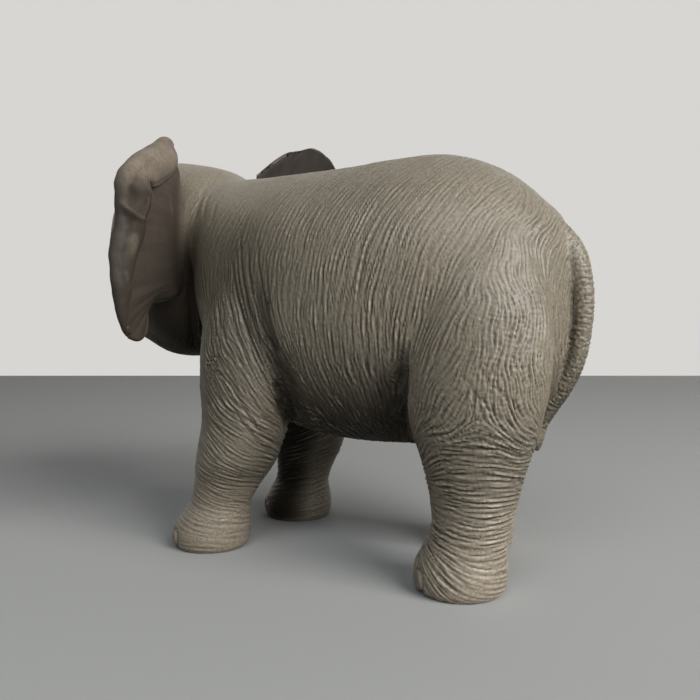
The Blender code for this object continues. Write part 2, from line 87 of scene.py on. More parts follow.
# along, half width, top and bottom
TORSO_SHARES = (
    (0.000, 0.15, 0.700, 0.560),
    (0.020, 0.44, 0.800, 0.460),
    (0.060, 0.66, 0.850, 0.380),
    (0.140, 0.84, 0.920, 0.330),
    (0.250, 0.96, 0.966, 0.295),
    (0.380, 1.00, 0.972, 0.285),
    (0.500, 1.00, 0.967, 0.284),
    (0.620, 0.96, 0.968, 0.300),
    (0.740, 0.88, 0.970, 0.340),
    (0.840, 0.80, 0.974, 0.410),
    (0.895, 0.68, 0.965, 0.490),
    (0.930, 0.52, 0.945, 0.560),
    (0.960, 0.46, 0.925, 0.600),
    (1.000, 0.45, 0.915, 0.610),
)
HEAD_SQUARENESS = 2.8
HEAD_SHARES = (
    (0.00, 0.60, 0.402, -0.218),
    (0.10, 0.86, 0.450, -0.405),
    (0.25, 0.98, 0.482, -0.470),
    (0.42, 1.00, 0.505, -0.477),
    (0.60, 0.94, 0.500, -0.423),
    (0.76, 0.82, 0.445, -0.368),
    (0.88, 0.62, 0.313, -0.293),
    (0.975, 0.30, 0.118, -0.200),
)
JAW_LENGTH = 0.020
JAW_HALF_WIDTH = 0.0095
JAW_HALF_HEIGHT = 0.0055
JAW_BEHIND_FACE = 0.0220
JAW_BELOW_NECK = 0.0188
JAW_RISE = 0.0030
# along, half width and half height
JAW_SHARES = (
    (0.00, 0.90, 0.90),
    (0.35, 1.00, 1.00),
    (0.70, 0.85, 0.80),
    (0.92, 0.60, 0.50),
    (1.00, 0.30, 0.22),
)
TRUNK_BASE_RADIUS = 0.0098
TRUNK_TIP_RADIUS = 0.0042
TRUNK_SEAT_DEPTH = 0.014
TRUNK_BELOW_NECK = 0.0013
TRUNK_SWAY = 0.030
TRUNK_REACH = 0.027
TRUNK_DROP = 0.0125
# sway, reach, drop and swell
TRUNK_SHARES = (
    (0.00, 0.00, 0.00, 1.00),
    (0.04, 0.30, 0.28, 0.94),
    (0.20, 0.55, 0.68, 0.78),
    (0.42, 0.76, 0.98, 0.60),
    (0.66, 0.93, 0.94, 0.42),
    (0.86, 1.02, 0.50, 0.26),
    (0.97, 1.02, -0.10, 0.14),
    (1.00, 0.94, -0.66, 0.06),
    (0.97, 0.82, -1.06, 0.00),
)
TAIL_ROOT_RADIUS = 0.0027
TAIL_TIP_RADIUS = 0.0013
TAIL_TOP_SHARE = 0.7736
TAIL_LENGTH = 0.0515
TAIL_DEPTH = 0.0087
TAIL_SWING = 0.0114
# out, down and swell
TAIL_SHARES = (
    (0.05, -0.100, 1.15),
    (0.40, -0.010, 1.38),
    (0.72, 0.080, 1.30),
    (0.87, 0.160, 1.18),
    (0.97, 0.300, 1.00),
    (0.94, 0.460, 0.82),
    (0.82, 0.590, 0.70),
    (0.62, 0.700, 0.50),
    (0.38, 0.790, 0.32),
    (0.16, 0.870, 0.30),
    (0.03, 0.945, 0.55),
    (0.00, 1.000, 0.10),
)
FRONT_LEG_RADIUS = 0.0112
FRONT_LEG_SPREAD = 0.0190
# up, apart, back, radius across and radius along
FRONT_LEG_SHARES = (
    (0.000, 1.00, 0.00, 0.80, 0.80),
    (0.015, 1.00, 0.00, 0.91, 0.91),
    (0.055, 1.00, 0.02, 0.93, 0.94),
    (0.100, 1.00, 0.14, 0.82, 0.84),
    (0.140, 1.00, 0.28, 0.72, 0.74),
    (0.200, 0.99, 0.50, 0.78, 0.82),
    (0.270, 0.97, 0.72, 0.93, 0.98),
    (0.390, 0.94, 0.96, 1.00, 1.06),
    (0.520, 0.88, 1.00, 1.12, 1.20),
    (0.660, 0.78, 1.00, 1.16, 1.26),
    (0.800, 0.68, 1.04, 1.04, 1.14),
    (0.920, 0.60, 1.10, 0.72, 0.80),
    (1.000, 0.56, 1.14, 0.26, 0.30),
)
HIND_LEG_RADIUS = 0.0118
HIND_LEG_SPREAD = 0.0170
HIND_LEG_SHARES = (
    (0.000, 1.00, 0.00, 0.75, 0.75),
    (0.015, 1.00, 0.00, 0.87, 0.87),
    (0.055, 1.00, 0.05, 0.89, 0.90),
    (0.100, 1.00, 0.25, 0.81, 0.82),
    (0.150, 1.00, 0.70, 0.75, 0.75),
    (0.230, 0.99, 0.90, 0.80, 0.82),
    (0.330, 0.97, 0.90, 0.96, 1.02),
    (0.430, 0.95, 0.80, 1.10, 1.28),
    (0.550, 0.92, 0.70, 1.18, 1.46),
    (0.680, 0.86, 0.70, 1.18, 1.44),
    (0.800, 0.78, 0.80, 1.04, 1.24),
    (0.920, 0.70, 1.00, 0.72, 0.86),
    (1.000, 0.66, 1.00, 0.26, 0.32),
)
# side, foot behind the neck's end or before the rump, reach back, is it a front leg
LEGS = {
    "front_left_leg": (1, 0.0173, 0.0115, True),
    "front_right_leg": (-1, 0.0203, 0.0062, True),
    "hind_left_leg": (1, 0.0207, 0.0035, False),
    "hind_right_leg": (-1, 0.0297, 0.0040, False),
}
PIECES = ("torso", "head", "trunk", "tail", *LEGS)
SLIM_PIECES = ("trunk", "tail")
EYES = ("left_eye", "right_eye")
# how far each right thigh and shoulder stands behind the left one
STAGGER = {"front": -0.0023, "hind": -0.0085}

# Rings along each loft, and points round each ring
TORSO_MESH = (90, 96)
HEAD_MESH = (60, 80)
JAW_MESH = (24, 40)
TRUNK_MESH = (90, 48)
TAIL_MESH = (90, 32)
LEG_MESH = (70, 64)
# each leg starts this far below the floor, where its sole is cut flat
SOLE_SINK = 0.001
# rows and path points for the distance from a piece
GAUGE_ROWS = 200
PATH_POINTS = 60
# the least length to divide by, and for a bend the least weight and turn to divide by
TINY = 1e-12
LEAST_SHARE = 1e-6
LEAST_BEND = 1e-9
# a point with less weight than this isn't smoothed
LEAST_WEIGHT = 0.01
# seeds of the noise, by what it is for
SEEDS = {
    "veer": 31,
    "long": 3,
    "short": 7,
    "hatch": 11,
    "patch": 23,
    "brief": 37,
    "scallop": 53,
    "ripple": 61,
    "vein": 67,
}

# The camera, at the photograph's place, and the picture it takes
CAMERA_PLACE = Vector((0.1688, 0.1165, 0.0590))
CAMERA_AIM = Vector((-0.8660, -0.5000, -0.0273)).normalized()
CAMERA_LENS = 35.95
CAMERA_SENSOR = 36.0
CAMERA_NEAR = 0.01
PICTURE = 700

# Ears, thin sheets that stand off the head at a slant
EAR_WIDTH = 0.036
EAR_HEIGHT = 0.068
EAR_FLAP = 0.0115
EAR_BEFORE_NECK = 0.0090
EAR_BELOW_NECK = 0.0243
EAR_SWEEP = math.radians(19)
EAR_ROOT_X = 0.0186
EAR_ROOT_SINK = 0.0060
EAR_ROOT_COLUMNS = 8
# the root's middle stands back, further so inside the head, where its top goes lower
EAR_FLARE = 0.0026
EAR_FLARE_REACH = 0.0042
EAR_FLARE_GROWTH = 0.6
# powers that shape it along the root and away from the root
EAR_FLARE_POWERS = (0.8, 1.5)
EAR_ROOT_DROP = 0.0055
EAR_DROP_ROWS = (0.40, 0.0)
# largest radius of the rolled edge, and how far its flap bulges, as a share of its reach
EAR_ROLL = 0.00256
EAR_FLAP_RISE = 0.075
# depth of the hollow, and on each side how it leans to the root: below one, nearer to it
EAR_CUP = 0.0040
EAR_CUP_LEAN = {1: 0.80, -1: 1.0}
# rows of the sheet, and columns of its flat part, its roll and its flap on each side
EAR_ROWS = 170
EAR_COLUMNS = {1: (60, 14, 44), -1: (80, 8, 12)}
# rounds of softening: the sheet, the ways in which it is thickened, and its rim's way outward
SHEET_ROUNDS = 3
NORMAL_ROUNDS = 4
RIM_ROUNDS = 6
# how far the rim stands out, as a share of half the thickness
RIM_BULGE = 0.8
# how fast the sheet grows thick, away from its top and bottom and from its free edge
EAR_SHORE = (12, 9)
# shallow ripples and veins of the part away from the root
EAR_FREE = (0.15, 0.5)
EAR_RIPPLE = 0.0006
EAR_RIPPLE_LENGTH = 0.006
EAR_VEIN_HEIGHT = 0.0004
EAR_VEINS = (26, 2.2)
# paint by rows and columns: veins weak at the top, painted shade low at the root, pale on the folded
# top
EAR_VEIN_PAINT = (0.3, 0.7)
EAR_VEIN_ROWS = (0.2, 0.35)
EAR_SHADE = ((0.35, 0.75), (0.60, 0.15))
EAR_PALE = ((0.42, 0.28), (0.50, 0.62))
EAR_ROOT_REACH = 0.0045
EAR_ROOT_Y = HEAD_BACK_Y - EAR_BEFORE_NECK
EAR_BOTTOM = NECK_HEIGHT - EAR_BELOW_NECK
# height of the root, as a share of the head's depth, then the outer fold and the free edge in
# the picture, and the free edge's lift in mm
LEFT_EAR = (
    (0.343, 174, 172, 174, 172, 0.0),
    (0.338, 167, 154, 170, 155, 1.0),
    (0.330, 161, 140, 170, 149, 2.4),
    (0.320, 152, 145, 176, 160, 3.4),
    (0.305, 142, 150, 175, 168, 4.0),
    (0.290, 132, 156, 167, 178, 4.2),
    (0.270, 124, 163, 154, 186, 4.0),
    (0.245, 118, 172, 148, 182, 3.7),
    (0.215, 116, 182, 151, 192, 3.3),
    (0.185, 115, 194, 151, 202, 3.0),
    (0.150, 115, 208, 147, 212, 2.9),
    (0.120, 115, 222, 144, 221, 2.8),
    (0.085, 113, 238, 142, 238, 2.5),
    (0.050, 111, 254, 138, 253, 2.2),
    (0.010, 111, 270, 132, 268, 2.0),
    (-0.030, 112, 284, 129, 281, 1.8),
    (-0.065, 115, 298, 128, 295, 1.6),
    (-0.100, 118, 312, 125, 310, 1.0),
    (-0.130, 123, 325, 124, 325, 0.2),
    (-0.152, 129, 334, 129, 334, 0.0),
    (-0.164, 135, 338, 135, 338, 0.0),
    (-0.172, 141, 337, 141, 337, 0.0),
    (-0.178, 145, 331, 145, 331, 0.0),
)
LEFT_EAR_NOTCH = (147.5, 303.0)
LEFT_EAR_NOTCH_REACH = 0.0045
# a row passes the notch between these shares of its length
LEFT_EAR_NOTCH_SHARES = (0.2, 0.9)
# folds of the left ear's roll in the picture: raised height and width in mm, then the points
EAR_FOLDS = (
    (0.55, 0.50, ((144, 179), (148, 190), (149, 200), (147, 210), (143, 218))),
    (0.85, 0.70, ((122, 203), (129, 210), (137, 216), (145, 220))),
    (-0.70, 1.30, ((121, 211), (129, 219), (137, 226))),
    (-0.60, 1.50, ((130, 184), (136, 194), (141, 204))),
    (0.45, 2.20, ((132, 234), (135, 244), (135, 256))),
    (-0.50, 1.80, ((117, 246), (120, 260), (124, 274))),
    (0.28, 0.80, ((120, 258), (125, 268), (129, 280))),
    (0.90, 0.80, ((170, 198), (172, 214), (173, 232))),
)
# a fold is pressed where the sheet faces the camera; a raised fold is painted lighter as a painted
# highlight and a pressed one darker as painted shade, in full from this height in mm
FOLD_FACING = (-0.1, 0.3)
FOLD_FADE = (0.03, 0.5)
EAR_FOLD_DARK = 0.4
# the place that the right ear's flap points to, by width and height, and its shares inward and back
RIGHT_EAR_AIM = (0.30, 0.36)
RIGHT_EAR_FLAP = (0.8, 0.5)
# height of the root, as a share of the head's depth, then the edge's reach and height, and the flap
RIGHT_EAR = (
    (0.343, 0.02, 0.795, 0.00),
    (0.320, 0.21, 0.872, 0.00),
    (0.298, 0.36, 0.924, 0.00),
    (0.275, 0.51, 0.948, 0.00),
    (0.252, 0.68, 0.976, 0.00),
    (0.218, 0.84, 0.945, 0.00),
    (0.184, 0.94, 0.880, 0.02),
    (0.139, 0.98, 0.750, 0.10),
    (0.094, 0.98, 0.600, 0.16),
    (0.048, 0.95, 0.430, 0.16),
    (-0.008, 0.87, 0.280, 0.10),
    (-0.065, 0.75, 0.130, 0.04),
    (-0.110, 0.60, 0.040, 0.00),
    (-0.144, 0.44, 0.035, 0.00),
    (-0.178, 0.22, 0.090, 0.00),
)

# Face: depth and width of each line in mm, then its points in metres from the middle of an eye,
# forward first, up second; the mouth, and the folds round the eye
FACE_LINES = (
    (
        0.60,
        0.60,
        ((-0.004, -0.0215), (0.002, -0.0222), (0.008, -0.0208), (0.013, -0.0192), (0.0165, -0.0172)),
    ),
    (0.35, 0.45, ((-0.0052, 0.0004), (-0.0030, 0.0034), (0.0006, 0.0042), (0.0040, 0.0024))),
    (0.30, 0.45, ((-0.0050, -0.0012), (-0.0028, -0.0036), (0.0006, -0.0042), (0.0038, -0.0028))),
    (0.25, 0.45, ((-0.0062, 0.0018), (-0.0036, 0.0052), (0.0004, 0.0060), (0.0044, 0.0042))),
    (0.25, 0.50, ((-0.0060, -0.0030), (-0.0034, -0.0056), (0.0006, -0.0062))),
)
# half length and half height of the opening between the lids; its rim is at one in the rows below
LID_OPENING = (0.00185, 0.00115)
LID_TILT = math.radians(12)
LID_REACH = 0.007
# the lids' two ridges, and the pit between them
LID_HEIGHT = 0.00125
LID_RIDGES = ((1.0, 1.45, 0.55), (0.35, 2.4, 0.9))
LID_HOLLOW = 0.0008
LID_PIT = (0.7, 1.05)
# the paint is dark and the wrinkles are missing up to these limits
LID_DARK = (0.8, 1.25)
LID_CALM = (2.0, 3.2)

# Eyes: an eye's way forward and up for each step to its side, its mesh, and angles in radians
EYE_FACING = (-0.22, 0.05)
EYE_TURNS = 48
EYE_RINGS = 30
EYE_BULGE_ANGLE = 0.55
PUPIL_ANGLE = 0.36
EYE_POLE_ANGLE = 0.02

# Tip of the trunk: two nostrils side by side, with a large finger above and a small one below
TRUNK_TIP_REACH = 0.008
# path points over which its direction is taken
TRUNK_TIP_STEPS = 3
NOSTRIL_APART = 0.0016
NOSTRIL_RADIUS = 0.0010
NOSTRIL_DEPTH = 0.0016
TRUNK_FINGERS = (0.0016, 0.0007)
TRUNK_FINGER_UP = 0.0034
TRUNK_FINGER_RADIUS = 0.0017

# Toenails: degrees from straight ahead, and half width, half height and height above the sole in mm
FRONT_NAILS = ((-58, 1.7, 1.9, 3.2), (-20, 2.2, 2.3, 3.4), (20, 2.2, 2.3, 3.4), (58, 1.7, 1.9, 3.2))
HIND_NAILS = ((-48, 1.9, 2.1, 3.3), (0, 2.3, 2.5, 3.6), (48, 1.9, 2.1, 3.3))
NAIL_RISE = 0.00045
NAIL_SQUARENESS = 2.6
# the nail's plate, the groove round it and the part without wrinkles; its edge is at one
NAIL_PLATE = (0.75, 1.0)
NAIL_GROOVE = ((0.8, 1.18, 0.16),)
NAIL_CALM = (1.0, 1.35)
# the points looked at for nails, and the height at which the foot's radius is taken
NAILS_BELOW = 0.011
FOOT_HEIGHT = 0.004

# Wrinkles, read off the picture: x, y, slant from upright in degrees, depth, cross hatching
WRINKLES = (
    (170, 215, 5, 0.10, 0.0),
    (200, 178, 30, 0.08, 0.0),
    (205, 212, 24, 0.32, 0.0),
    (228, 195, 28, 0.10, 0.0),
    (228, 262, 2, 0.35, 0.3),
    (250, 240, 5, 0.50, 0.1),
    (256, 195, 22, 0.22, 0.0),
    (275, 216, 12, 0.65, 0.1),
    (300, 188, 26, 0.35, 0.0),
    (330, 212, 18, 0.80, 0.0),
    (290, 270, 6, 0.55, 0.2),
    (330, 262, 12, 0.85, 0.0),
    (320, 320, 3, 0.90, 0.1),
    (318, 372, -14, 1.00, 0.0),
    (350, 300, 7, 1.00, 0.0),
    (345, 408, -14, 0.90, 0.1),
    (380, 202, 27, 0.80, 0.0),
    (380, 262, 15, 0.95, 0.0),
    (380, 325, 2, 1.10, 0.0),
    (375, 392, -6, 1.00, 0.1),
    (420, 202, 32, 0.75, 0.0),
    (420, 262, 13, 0.95, 0.0),
    (405, 330, 4, 1.10, 0.0),
    (400, 166, 40, 0.25, 0.0),
    (450, 172, 44, 0.35, 0.0),
    (432, 190, 38, 0.55, 0.0),
    (442, 240, 30, 0.40, 0.0),
    (424, 300, 20, 0.85, 0.0),
    (450, 305, 22, 0.60, 0.1),
    (472, 252, 27, 0.55, 0.0),
    (484, 205, 34, 0.50, 0.1),
    (505, 195, 45, 0.35, 0.3),
    (502, 252, 8, 0.60, 0.3),
    (500, 300, 2, 0.75, 0.5),
    (522, 262, 0, 0.60, 0.4),
    (545, 226, 60, 0.60, 0.3),
    (562, 224, 58, 0.60, 0.0),
    (573, 238, 58, 0.60, 0.0),
    (582, 256, 72, 0.60, 0.0),
    (556, 252, 12, 0.55, 0.3),
    (530, 300, 0, 0.80, 0.6),
    (552, 310, -3, 0.70, 0.3),
    (480, 340, 14, 0.85, 0.4),
    (522, 350, -3, 0.95, 0.6),
    (460, 360, 22, 0.85, 0.2),
    (438, 372, 34, 0.80, 0.2),
    (500, 380, -10, 0.95, 0.5),
    (418, 402, 30, 0.80, 0.3),
    (440, 392, 32, 0.80, 0.2),
    (462, 402, 14, 0.90, 0.5),
    (490, 402, -30, 0.95, 0.8),
    (522, 400, -20, 0.95, 0.4),
    (546, 392, -8, 0.80, 0.2),
    (430, 430, 52, 0.70, 0.7),
    (470, 440, 80, 1.10, 0.3),
    (500, 446, 96, 1.20, 0.2),
    (526, 440, 120, 1.10, 0.3),
    (448, 480, 92, 1.20, 0.1),
    (500, 480, 92, 1.40, 0.0),
    (448, 520, 95, 1.20, 0.1),
    (500, 520, 88, 1.40, 0.0),
    (440, 550, 102, 1.10, 0.0),
    (490, 550, 86, 1.20, 0.0),
    (430, 578, -30, 0.80, 0.0),
    (450, 580, -55, 0.70, 0.0),
    (480, 582, 100, 0.50, 0.0),
    (505, 590, 95, 0.35, 0.0),
    (216, 330, -14, 0.80, 0.2),
    (236, 342, -20, 1.00, 0.1),
    (256, 345, -25, 1.00, 0.0),
    (214, 370, -66, 0.90, 0.2),
    (240, 382, -25, 0.90, 0.2),
    (266, 402, -42, 1.00, 0.1),
    (214, 410, -48, 0.85, 0.1),
    (240, 422, -44, 0.70, 0.2),
    (270, 432, -66, 1.10, 0.0),
    (250, 452, -72, 1.10, 0.0),
    (214, 442, -54, 0.70, 0.1),
    (264, 470, -80, 1.00, 0.0),
    (220, 482, -60, 0.75, 0.1),
    (250, 492, -76, 0.90, 0.1),
    (196, 500, -70, 0.65, 0.1),
    (230, 520, 96, 0.60, 0.0),
    (200, 530, 98, 0.55, 0.0),
    (186, 545, 90, 0.35, 0.0),
    (236, 545, 92, 0.30, 0.0),
    (165, 300, 10, 0.25, 0.2),
    (160, 340, 30, 0.30, 0.3),
    (120, 200, 20, 0.25, 0.2),
    (120, 260, 40, 0.35, 0.3),
    (100, 320, 60, 0.35, 0.3),
)
# how far a mark reaches, in pixels, and how many points are worked on at a time
WRINKLE_REACH = 24.0
POINTS_AT_ONCE = 40000
# rounds that spread the stagger between a right leg and the body
STAGGER_ROUNDS = 60
# rings round the trunk and round the tail's part below this height
RINGS_BELOW = {"trunk": 1.0, "tail": 0.0765}
RING_DEPTH = 0.7
# at the trunk's and the tail's root the wrinkles are combed, above this height, and made softer
COMB_REACH = 0.0042
COMB_LOW = 0.062
COMB_ROUNDS = 90
ROOT_SOFTNESS = 0.45
ROOT_REACH = 0.0022
# the soles are nearly smooth
SOLE_SOFTNESS = 0.7
SOLE_FACING = (0.93, 0.99)

# Strokes of the wrinkles: width and length as shares of the settings' ones
LONG_STREAK = (0.46, 1.0)
SHORT_STREAK = (0.42, 0.35)
HATCH_WIDTH = 0.55
HATCH_LENGTH = 0.0022
STROKE_GAIN = 0.9
HATCH_GAIN = 0.8
HATCH_SHARE = 0.6
# steps along a stroke as a share of its width, its fading, and the rounds that level the strokes
STREAK_STEP = 0.6
STREAK_FADE = 0.9
STREAK_ROUNDS = 6
# how tightly a stroke may bend, per metre
TIGHTEST_BEND = 140
BEND_ROUNDS = 8
# how far the strokes veer, at least and with the cross hatching, up to a limit of the latter; and
# how much of them is short, at least, with the cross hatching and by patches
PATCH = 0.008
VEER = (0.2, 1.8, 0.6)
BRIEF = (0.10, 0.9, 0.7)
# size and share of the patches that make the depth uneven
PATCHES = ((0.009, 0.7), (0.0032, 0.9))
UNEVEN_LIMITS = (0.15, 2)
# scallops along the belly
SCALLOP = 0.00024
SCALLOP_WIDTH = 0.0019
SCALLOP_PATCH = 0.007
SCALLOP_DRIFT = 1.5
SCALLOP_FACING = (0.25, 0.7)

# Joints: rounds that smooth the whole skin first, and the borders between its pieces
DRAFT_ROUNDS = 5
BORDER_ROUNDS = 4
# the blend reaches further between these heights and above them
JOINT_HEIGHTS = (0.045, 0.065)
JOINT_REACH = 0.0007
JOINT_REACH_HIGH = 0.0026
# below its root a slim piece stays crisp
TAIL_BELOW_ROOT = (-0.010, -0.003)
SLIM_CRISPNESS = 0.8
# the hollow behind the head: filled from the first heights on, less from the next, and smoothed
NECK_FILL = 0.0016
NECK_FILL_REACH = 0.0055
NECK_FILL_STARTS = (0.079, 0.092)
NECK_FILL_FADES = (0.095, 0.102)
NECK_FILL_LOSS = 0.7
NECK_REACH = 0.0070
NECK_STARTS = (0.072, 0.086)
# the caps inside the cut pieces: how deep they lie, and their size as a share of the rim's
CAP_SINK = 0.0008
CAP_SIZE = 0.7

# Painted shade: dark paint below the body, on the inner side of the legs, on the cheeks and on the
# shoulders, where shade falls
BELLY_SHADE = 0.85
BELLY_FACING = (0.0, 0.75)
BELLY_STARTS = (0.012, 0.03)
INNER_FACING = (0.5, 1.0)
CHEEK = (-0.022, 0.066)
CHEEK_REACH = 0.021
CHEEK_FADES = (1.35, 0.5)
SHOULDER_SHADE = 0.36
SHOULDER_BACK = (0.028, 0.002)
SHOULDER_TOP = (0.097, 0.080)
SHOULDER_LOW = (0.022, 0.045)
SHADE_ROUNDS = 12
# Pale paint on the feet, less so on the front ones, and a painted sheen on the hips
FOOT_PALE = (0.005, 0.026)
FRONT_LESS_PALE = 0.5
HIP_SHEEN_PLACE = (0.0264, 0.0583, 0.0815)
HIP_SHEEN_REACH = 0.013
HIP_SHEEN_SHARE = 0.30

# Coats of paint, from the lowest to the top one. Each follows a number kept at the mesh's points,
# or a cloud of this scale and detail: it starts at the first value and reaches its cover at the
# second. Its colour is one of the settings', made lighter or darker.
SKIN_BASE = 0.93
SKIN_COATS = (
    ((60, 3), 0.38, 0.62, 1.0, "colour", 1.07),
    # pale feet, and a painted sheen on the hips
    ("pale", 0, 1, 1.0, "pale", 1.0),
    # painted shade below the body, on the inner legs, the cheeks and the shoulders, in two coats
    ("dirt", 0, 1, 0.95, "wash_and_shade", 0.5),
    ("height", 0.35, 1.3, 0.85, "colour", 1.9),
    ("height", 0.1, -0.95, 0.9, "wash_and_shade", 1.0),
    # second coat of painted shade
    ("dirt", 0.1, 1, 0.4, "wash_and_shade", 0.6),
    # dark paint in the grooves: a wash, and painted shade in the wide recesses
    ("groove", 0.15, 1.0, 0.9, "wash_and_shade", 1.0),
    ("nail", 0, 1, 0.85, "pale", 0.5),
    ((1400, 2), 0.4, 0.7, 0.35, "wash_and_shade", 1.0),
)
EAR_COATS = (
    ("behind", 0.2, 0.8, 1.0, "back", 1.0),
    ("root", 0.1, 1.0, 0.8, "flap", 0.8),
    ("pale", 0, 1, 1.0, "flap", 1.0),
    ((90, 3), 0.4, 0.62, 0.35, "back", 0.8),
    # veins, a painted highlight on the raised folds and painted shade in the pressed ones
    ("height", 0.2, 1.1, 0.5, "flap", 0.8),
    ("height", -0.1, -1.1, 0.7, "back", 0.4),
    # painted highlight along the rims
    ("edge", 0.4, 1.0, 0.4, "flap", 1.0),
    # painted shade: the back's paint, darkened
    ("dirt", 0, 1, 0.85, "back", 0.2),
    ((1400, 2), 0.4, 0.7, 0.3, "back", 0.4),
)
IRIS_BASE = 0.6
EYE_COATS = (
    ((900, 2), 0.3, 0.7, 1.0, "iris", 1.0),
    ("pupil", 0.4, 0.6, 1.0, "pupil", 1.0),
)
# roughness and shine, the shine where the painted shade is darkest, and the eyes' clear coat
SKIN_GLOSS = (0.38, 0.36)
EAR_GLOSS = (0.60, 0.16)
EYE_GLOSS = (0.12, 0.5)
PAINTED_SHADE_SHINE = 0.04
EYE_COAT = 0.6
# scale and detail of the fine grain, then its height and strength on the skin and on the ears
FINE_GRAIN = (2200, 3)
SKIN_BUMP = (0.00012, 0.5)
EAR_BUMP = (0.00010, 0.4)

# Stage: both lamps look at the calf
KEY_PLACE = Vector((0.28, 1.02, 0.62))
KEY_SIZE = 0.80
KEY_COLOUR = (1.0, 1.0, 1.0)
TOP_PLACE = Vector((0.48, 0.155, 0.48))
TOP_SIZE = 0.34
TOP_COLOUR = (0.88, 0.96, 1.0)
LAMPS_AIM = Vector((MIDDLE_X, 0.01, 0.05))
STAGE_GLOSS = (0.8, 0.1)
FLOOR_REACH = 3
WALL_AWAY = 0.92
WALL_HEIGHT = 2
# between these distances from the calf the floor turns, for the camera, into a plain colour that
# is lighter than its paint; the wall is plain everywhere
FLOOR_FAR = (0.72, 1.50)
FLOOR_FAR_LIGHT = 1.3
WALL_FAR = (-1.0, 0.0)

# How a line is pressed: read off at this many places a point, with a wavering way and a rim
LINE_STEPS = 4
WAVER_SEEDS = (41, 43, 47)
WAVER_LENGTH = 0.0035
WAVER_LIMIT = 0.0008
WAVER_SHARE = 0.9
CREASE_REACH = 4
CREASE_RIM = 0.3
RIM_PLACE = 1.8
# a crease fades toward both ends, and one of at least this width at its first end only
CREASE_FADE = (0.02, 0.6)
BROAD_CREASE = 0.0015
BROAD_FADE = (0.0, 0.55)
# from this depth on a crease is painted fully dark, or nearly so if it is wider than a millimetre: a
# dark wash in the narrow creases and painted shade in the wide recesses
DARK_CREASE = 0.0004
WIDE_CREASE_DARK = 0.9

# Creases, read off the picture: depth and width in mm, the legs that one goes with, the points
CREASES = (
    # recesses of the belly beside the thigh and behind the front leg, painted dark as shade where wider
    # than a millimetre
    (1.80, 2.0, "hind", ((402, 338), (401, 362), (401, 386), (402, 412), (405, 440))),
    (0.80, 4.0, "hind", ((392, 360), (389, 385), (388, 410), (389, 434))),
    (1.70, 1.8, "front", ((262, 322), (271, 356), (281, 390), (291, 420))),
    (1.10, 3.6, "front", ((270, 335), (283, 372), (297, 412))),
    (0.50, 2.4, "front", ((258, 262), (260, 290), (265, 318), (273, 348))),
    (0.60, 0.8, "hind", ((404, 352), (404, 378), (405, 404), (407, 428), (410, 444))),
    (0.60, 0.8, "front", ((262, 345), (272, 375), (281, 404), (288, 432))),
    # long folds of the shoulder
    (0.45, 0.42, "front", ((240, 232), (241, 262), (246, 295), (255, 326), (266, 352), (277, 378))),
    (0.45, 0.40, "front", ((248, 244), (249, 270), (253, 298), (261, 326), (270, 350), (279, 370))),
    (0.38, 0.38, "front", ((258, 240), (259, 268), (263, 296), (270, 324), (276, 345))),
    (0.42, 0.40, "front", ((232, 262), (236, 290), (243, 318), (252, 344), (262, 366))),
    (0.34, 0.36, "front", ((236, 250), (238, 276), (243, 302), (251, 330), (259, 350))),
    (0.34, 0.36, "front", ((226, 282), (230, 308), (237, 334), (247, 360), (256, 380))),
    (0.30, 0.36, "front", ((217, 296), (221, 322), (228, 346), (236, 366))),
    (0.30, 0.36, "front", ((266, 262), (267, 285), (270, 306), (275, 328))),
    # elbow and the front of the leg
    (0.26, 0.45, "front", ((228, 378), (240, 402), (254, 424), (268, 440), (282, 449))),
    (0.24, 0.42, "front", ((240, 374), (252, 398), (266, 417), (280, 431))),
    (0.22, 0.42, "front", ((226, 396), (240, 420), (256, 440), (274, 455))),
    (0.22, 0.45, "front", ((207, 364), (215, 357), (224, 362), (231, 375))),
    (0.20, 0.45, "front", ((207, 382), (216, 373), (226, 379), (234, 394))),
    # neck, where the two wide creases are painted dark as shade
    (1.00, 1.5, "", ((190, 252), (190, 272), (190, 296), (192, 322), (195, 345))),
    (0.50, 2.6, "", ((187, 256), (186, 280), (185, 305), (188, 330))),
    (0.18, 0.8, "", ((206, 190), (199, 204), (195, 222))),
    (0.16, 0.7, "", ((212, 192), (206, 204), (203, 220))),
    (0.16, 0.7, "", ((222, 196), (215, 208), (212, 224))),
    # thigh, knee and foot
    (0.20, 0.42, "hind", ((460, 374), (478, 396), (496, 414), (518, 432))),
    (0.18, 0.42, "hind", ((478, 366), (492, 384), (510, 402), (528, 420))),
    (0.24, 0.45, "hind", ((456, 446), (470, 440), (488, 438), (506, 441), (524, 447))),
    (0.24, 0.45, "hind", ((452, 456), (468, 450), (490, 449), (512, 452), (528, 455))),
    (0.26, 0.45, "hind", ((436, 568), (446, 582), (458, 594))),
    (0.24, 0.45, "hind", ((446, 564), (458, 578), (472, 590))),
    # beside the tail
    (0.25, 0.9, "", ((568, 262), (571, 285), (572, 310), (572, 335), (569, 360), (562, 384))),
)


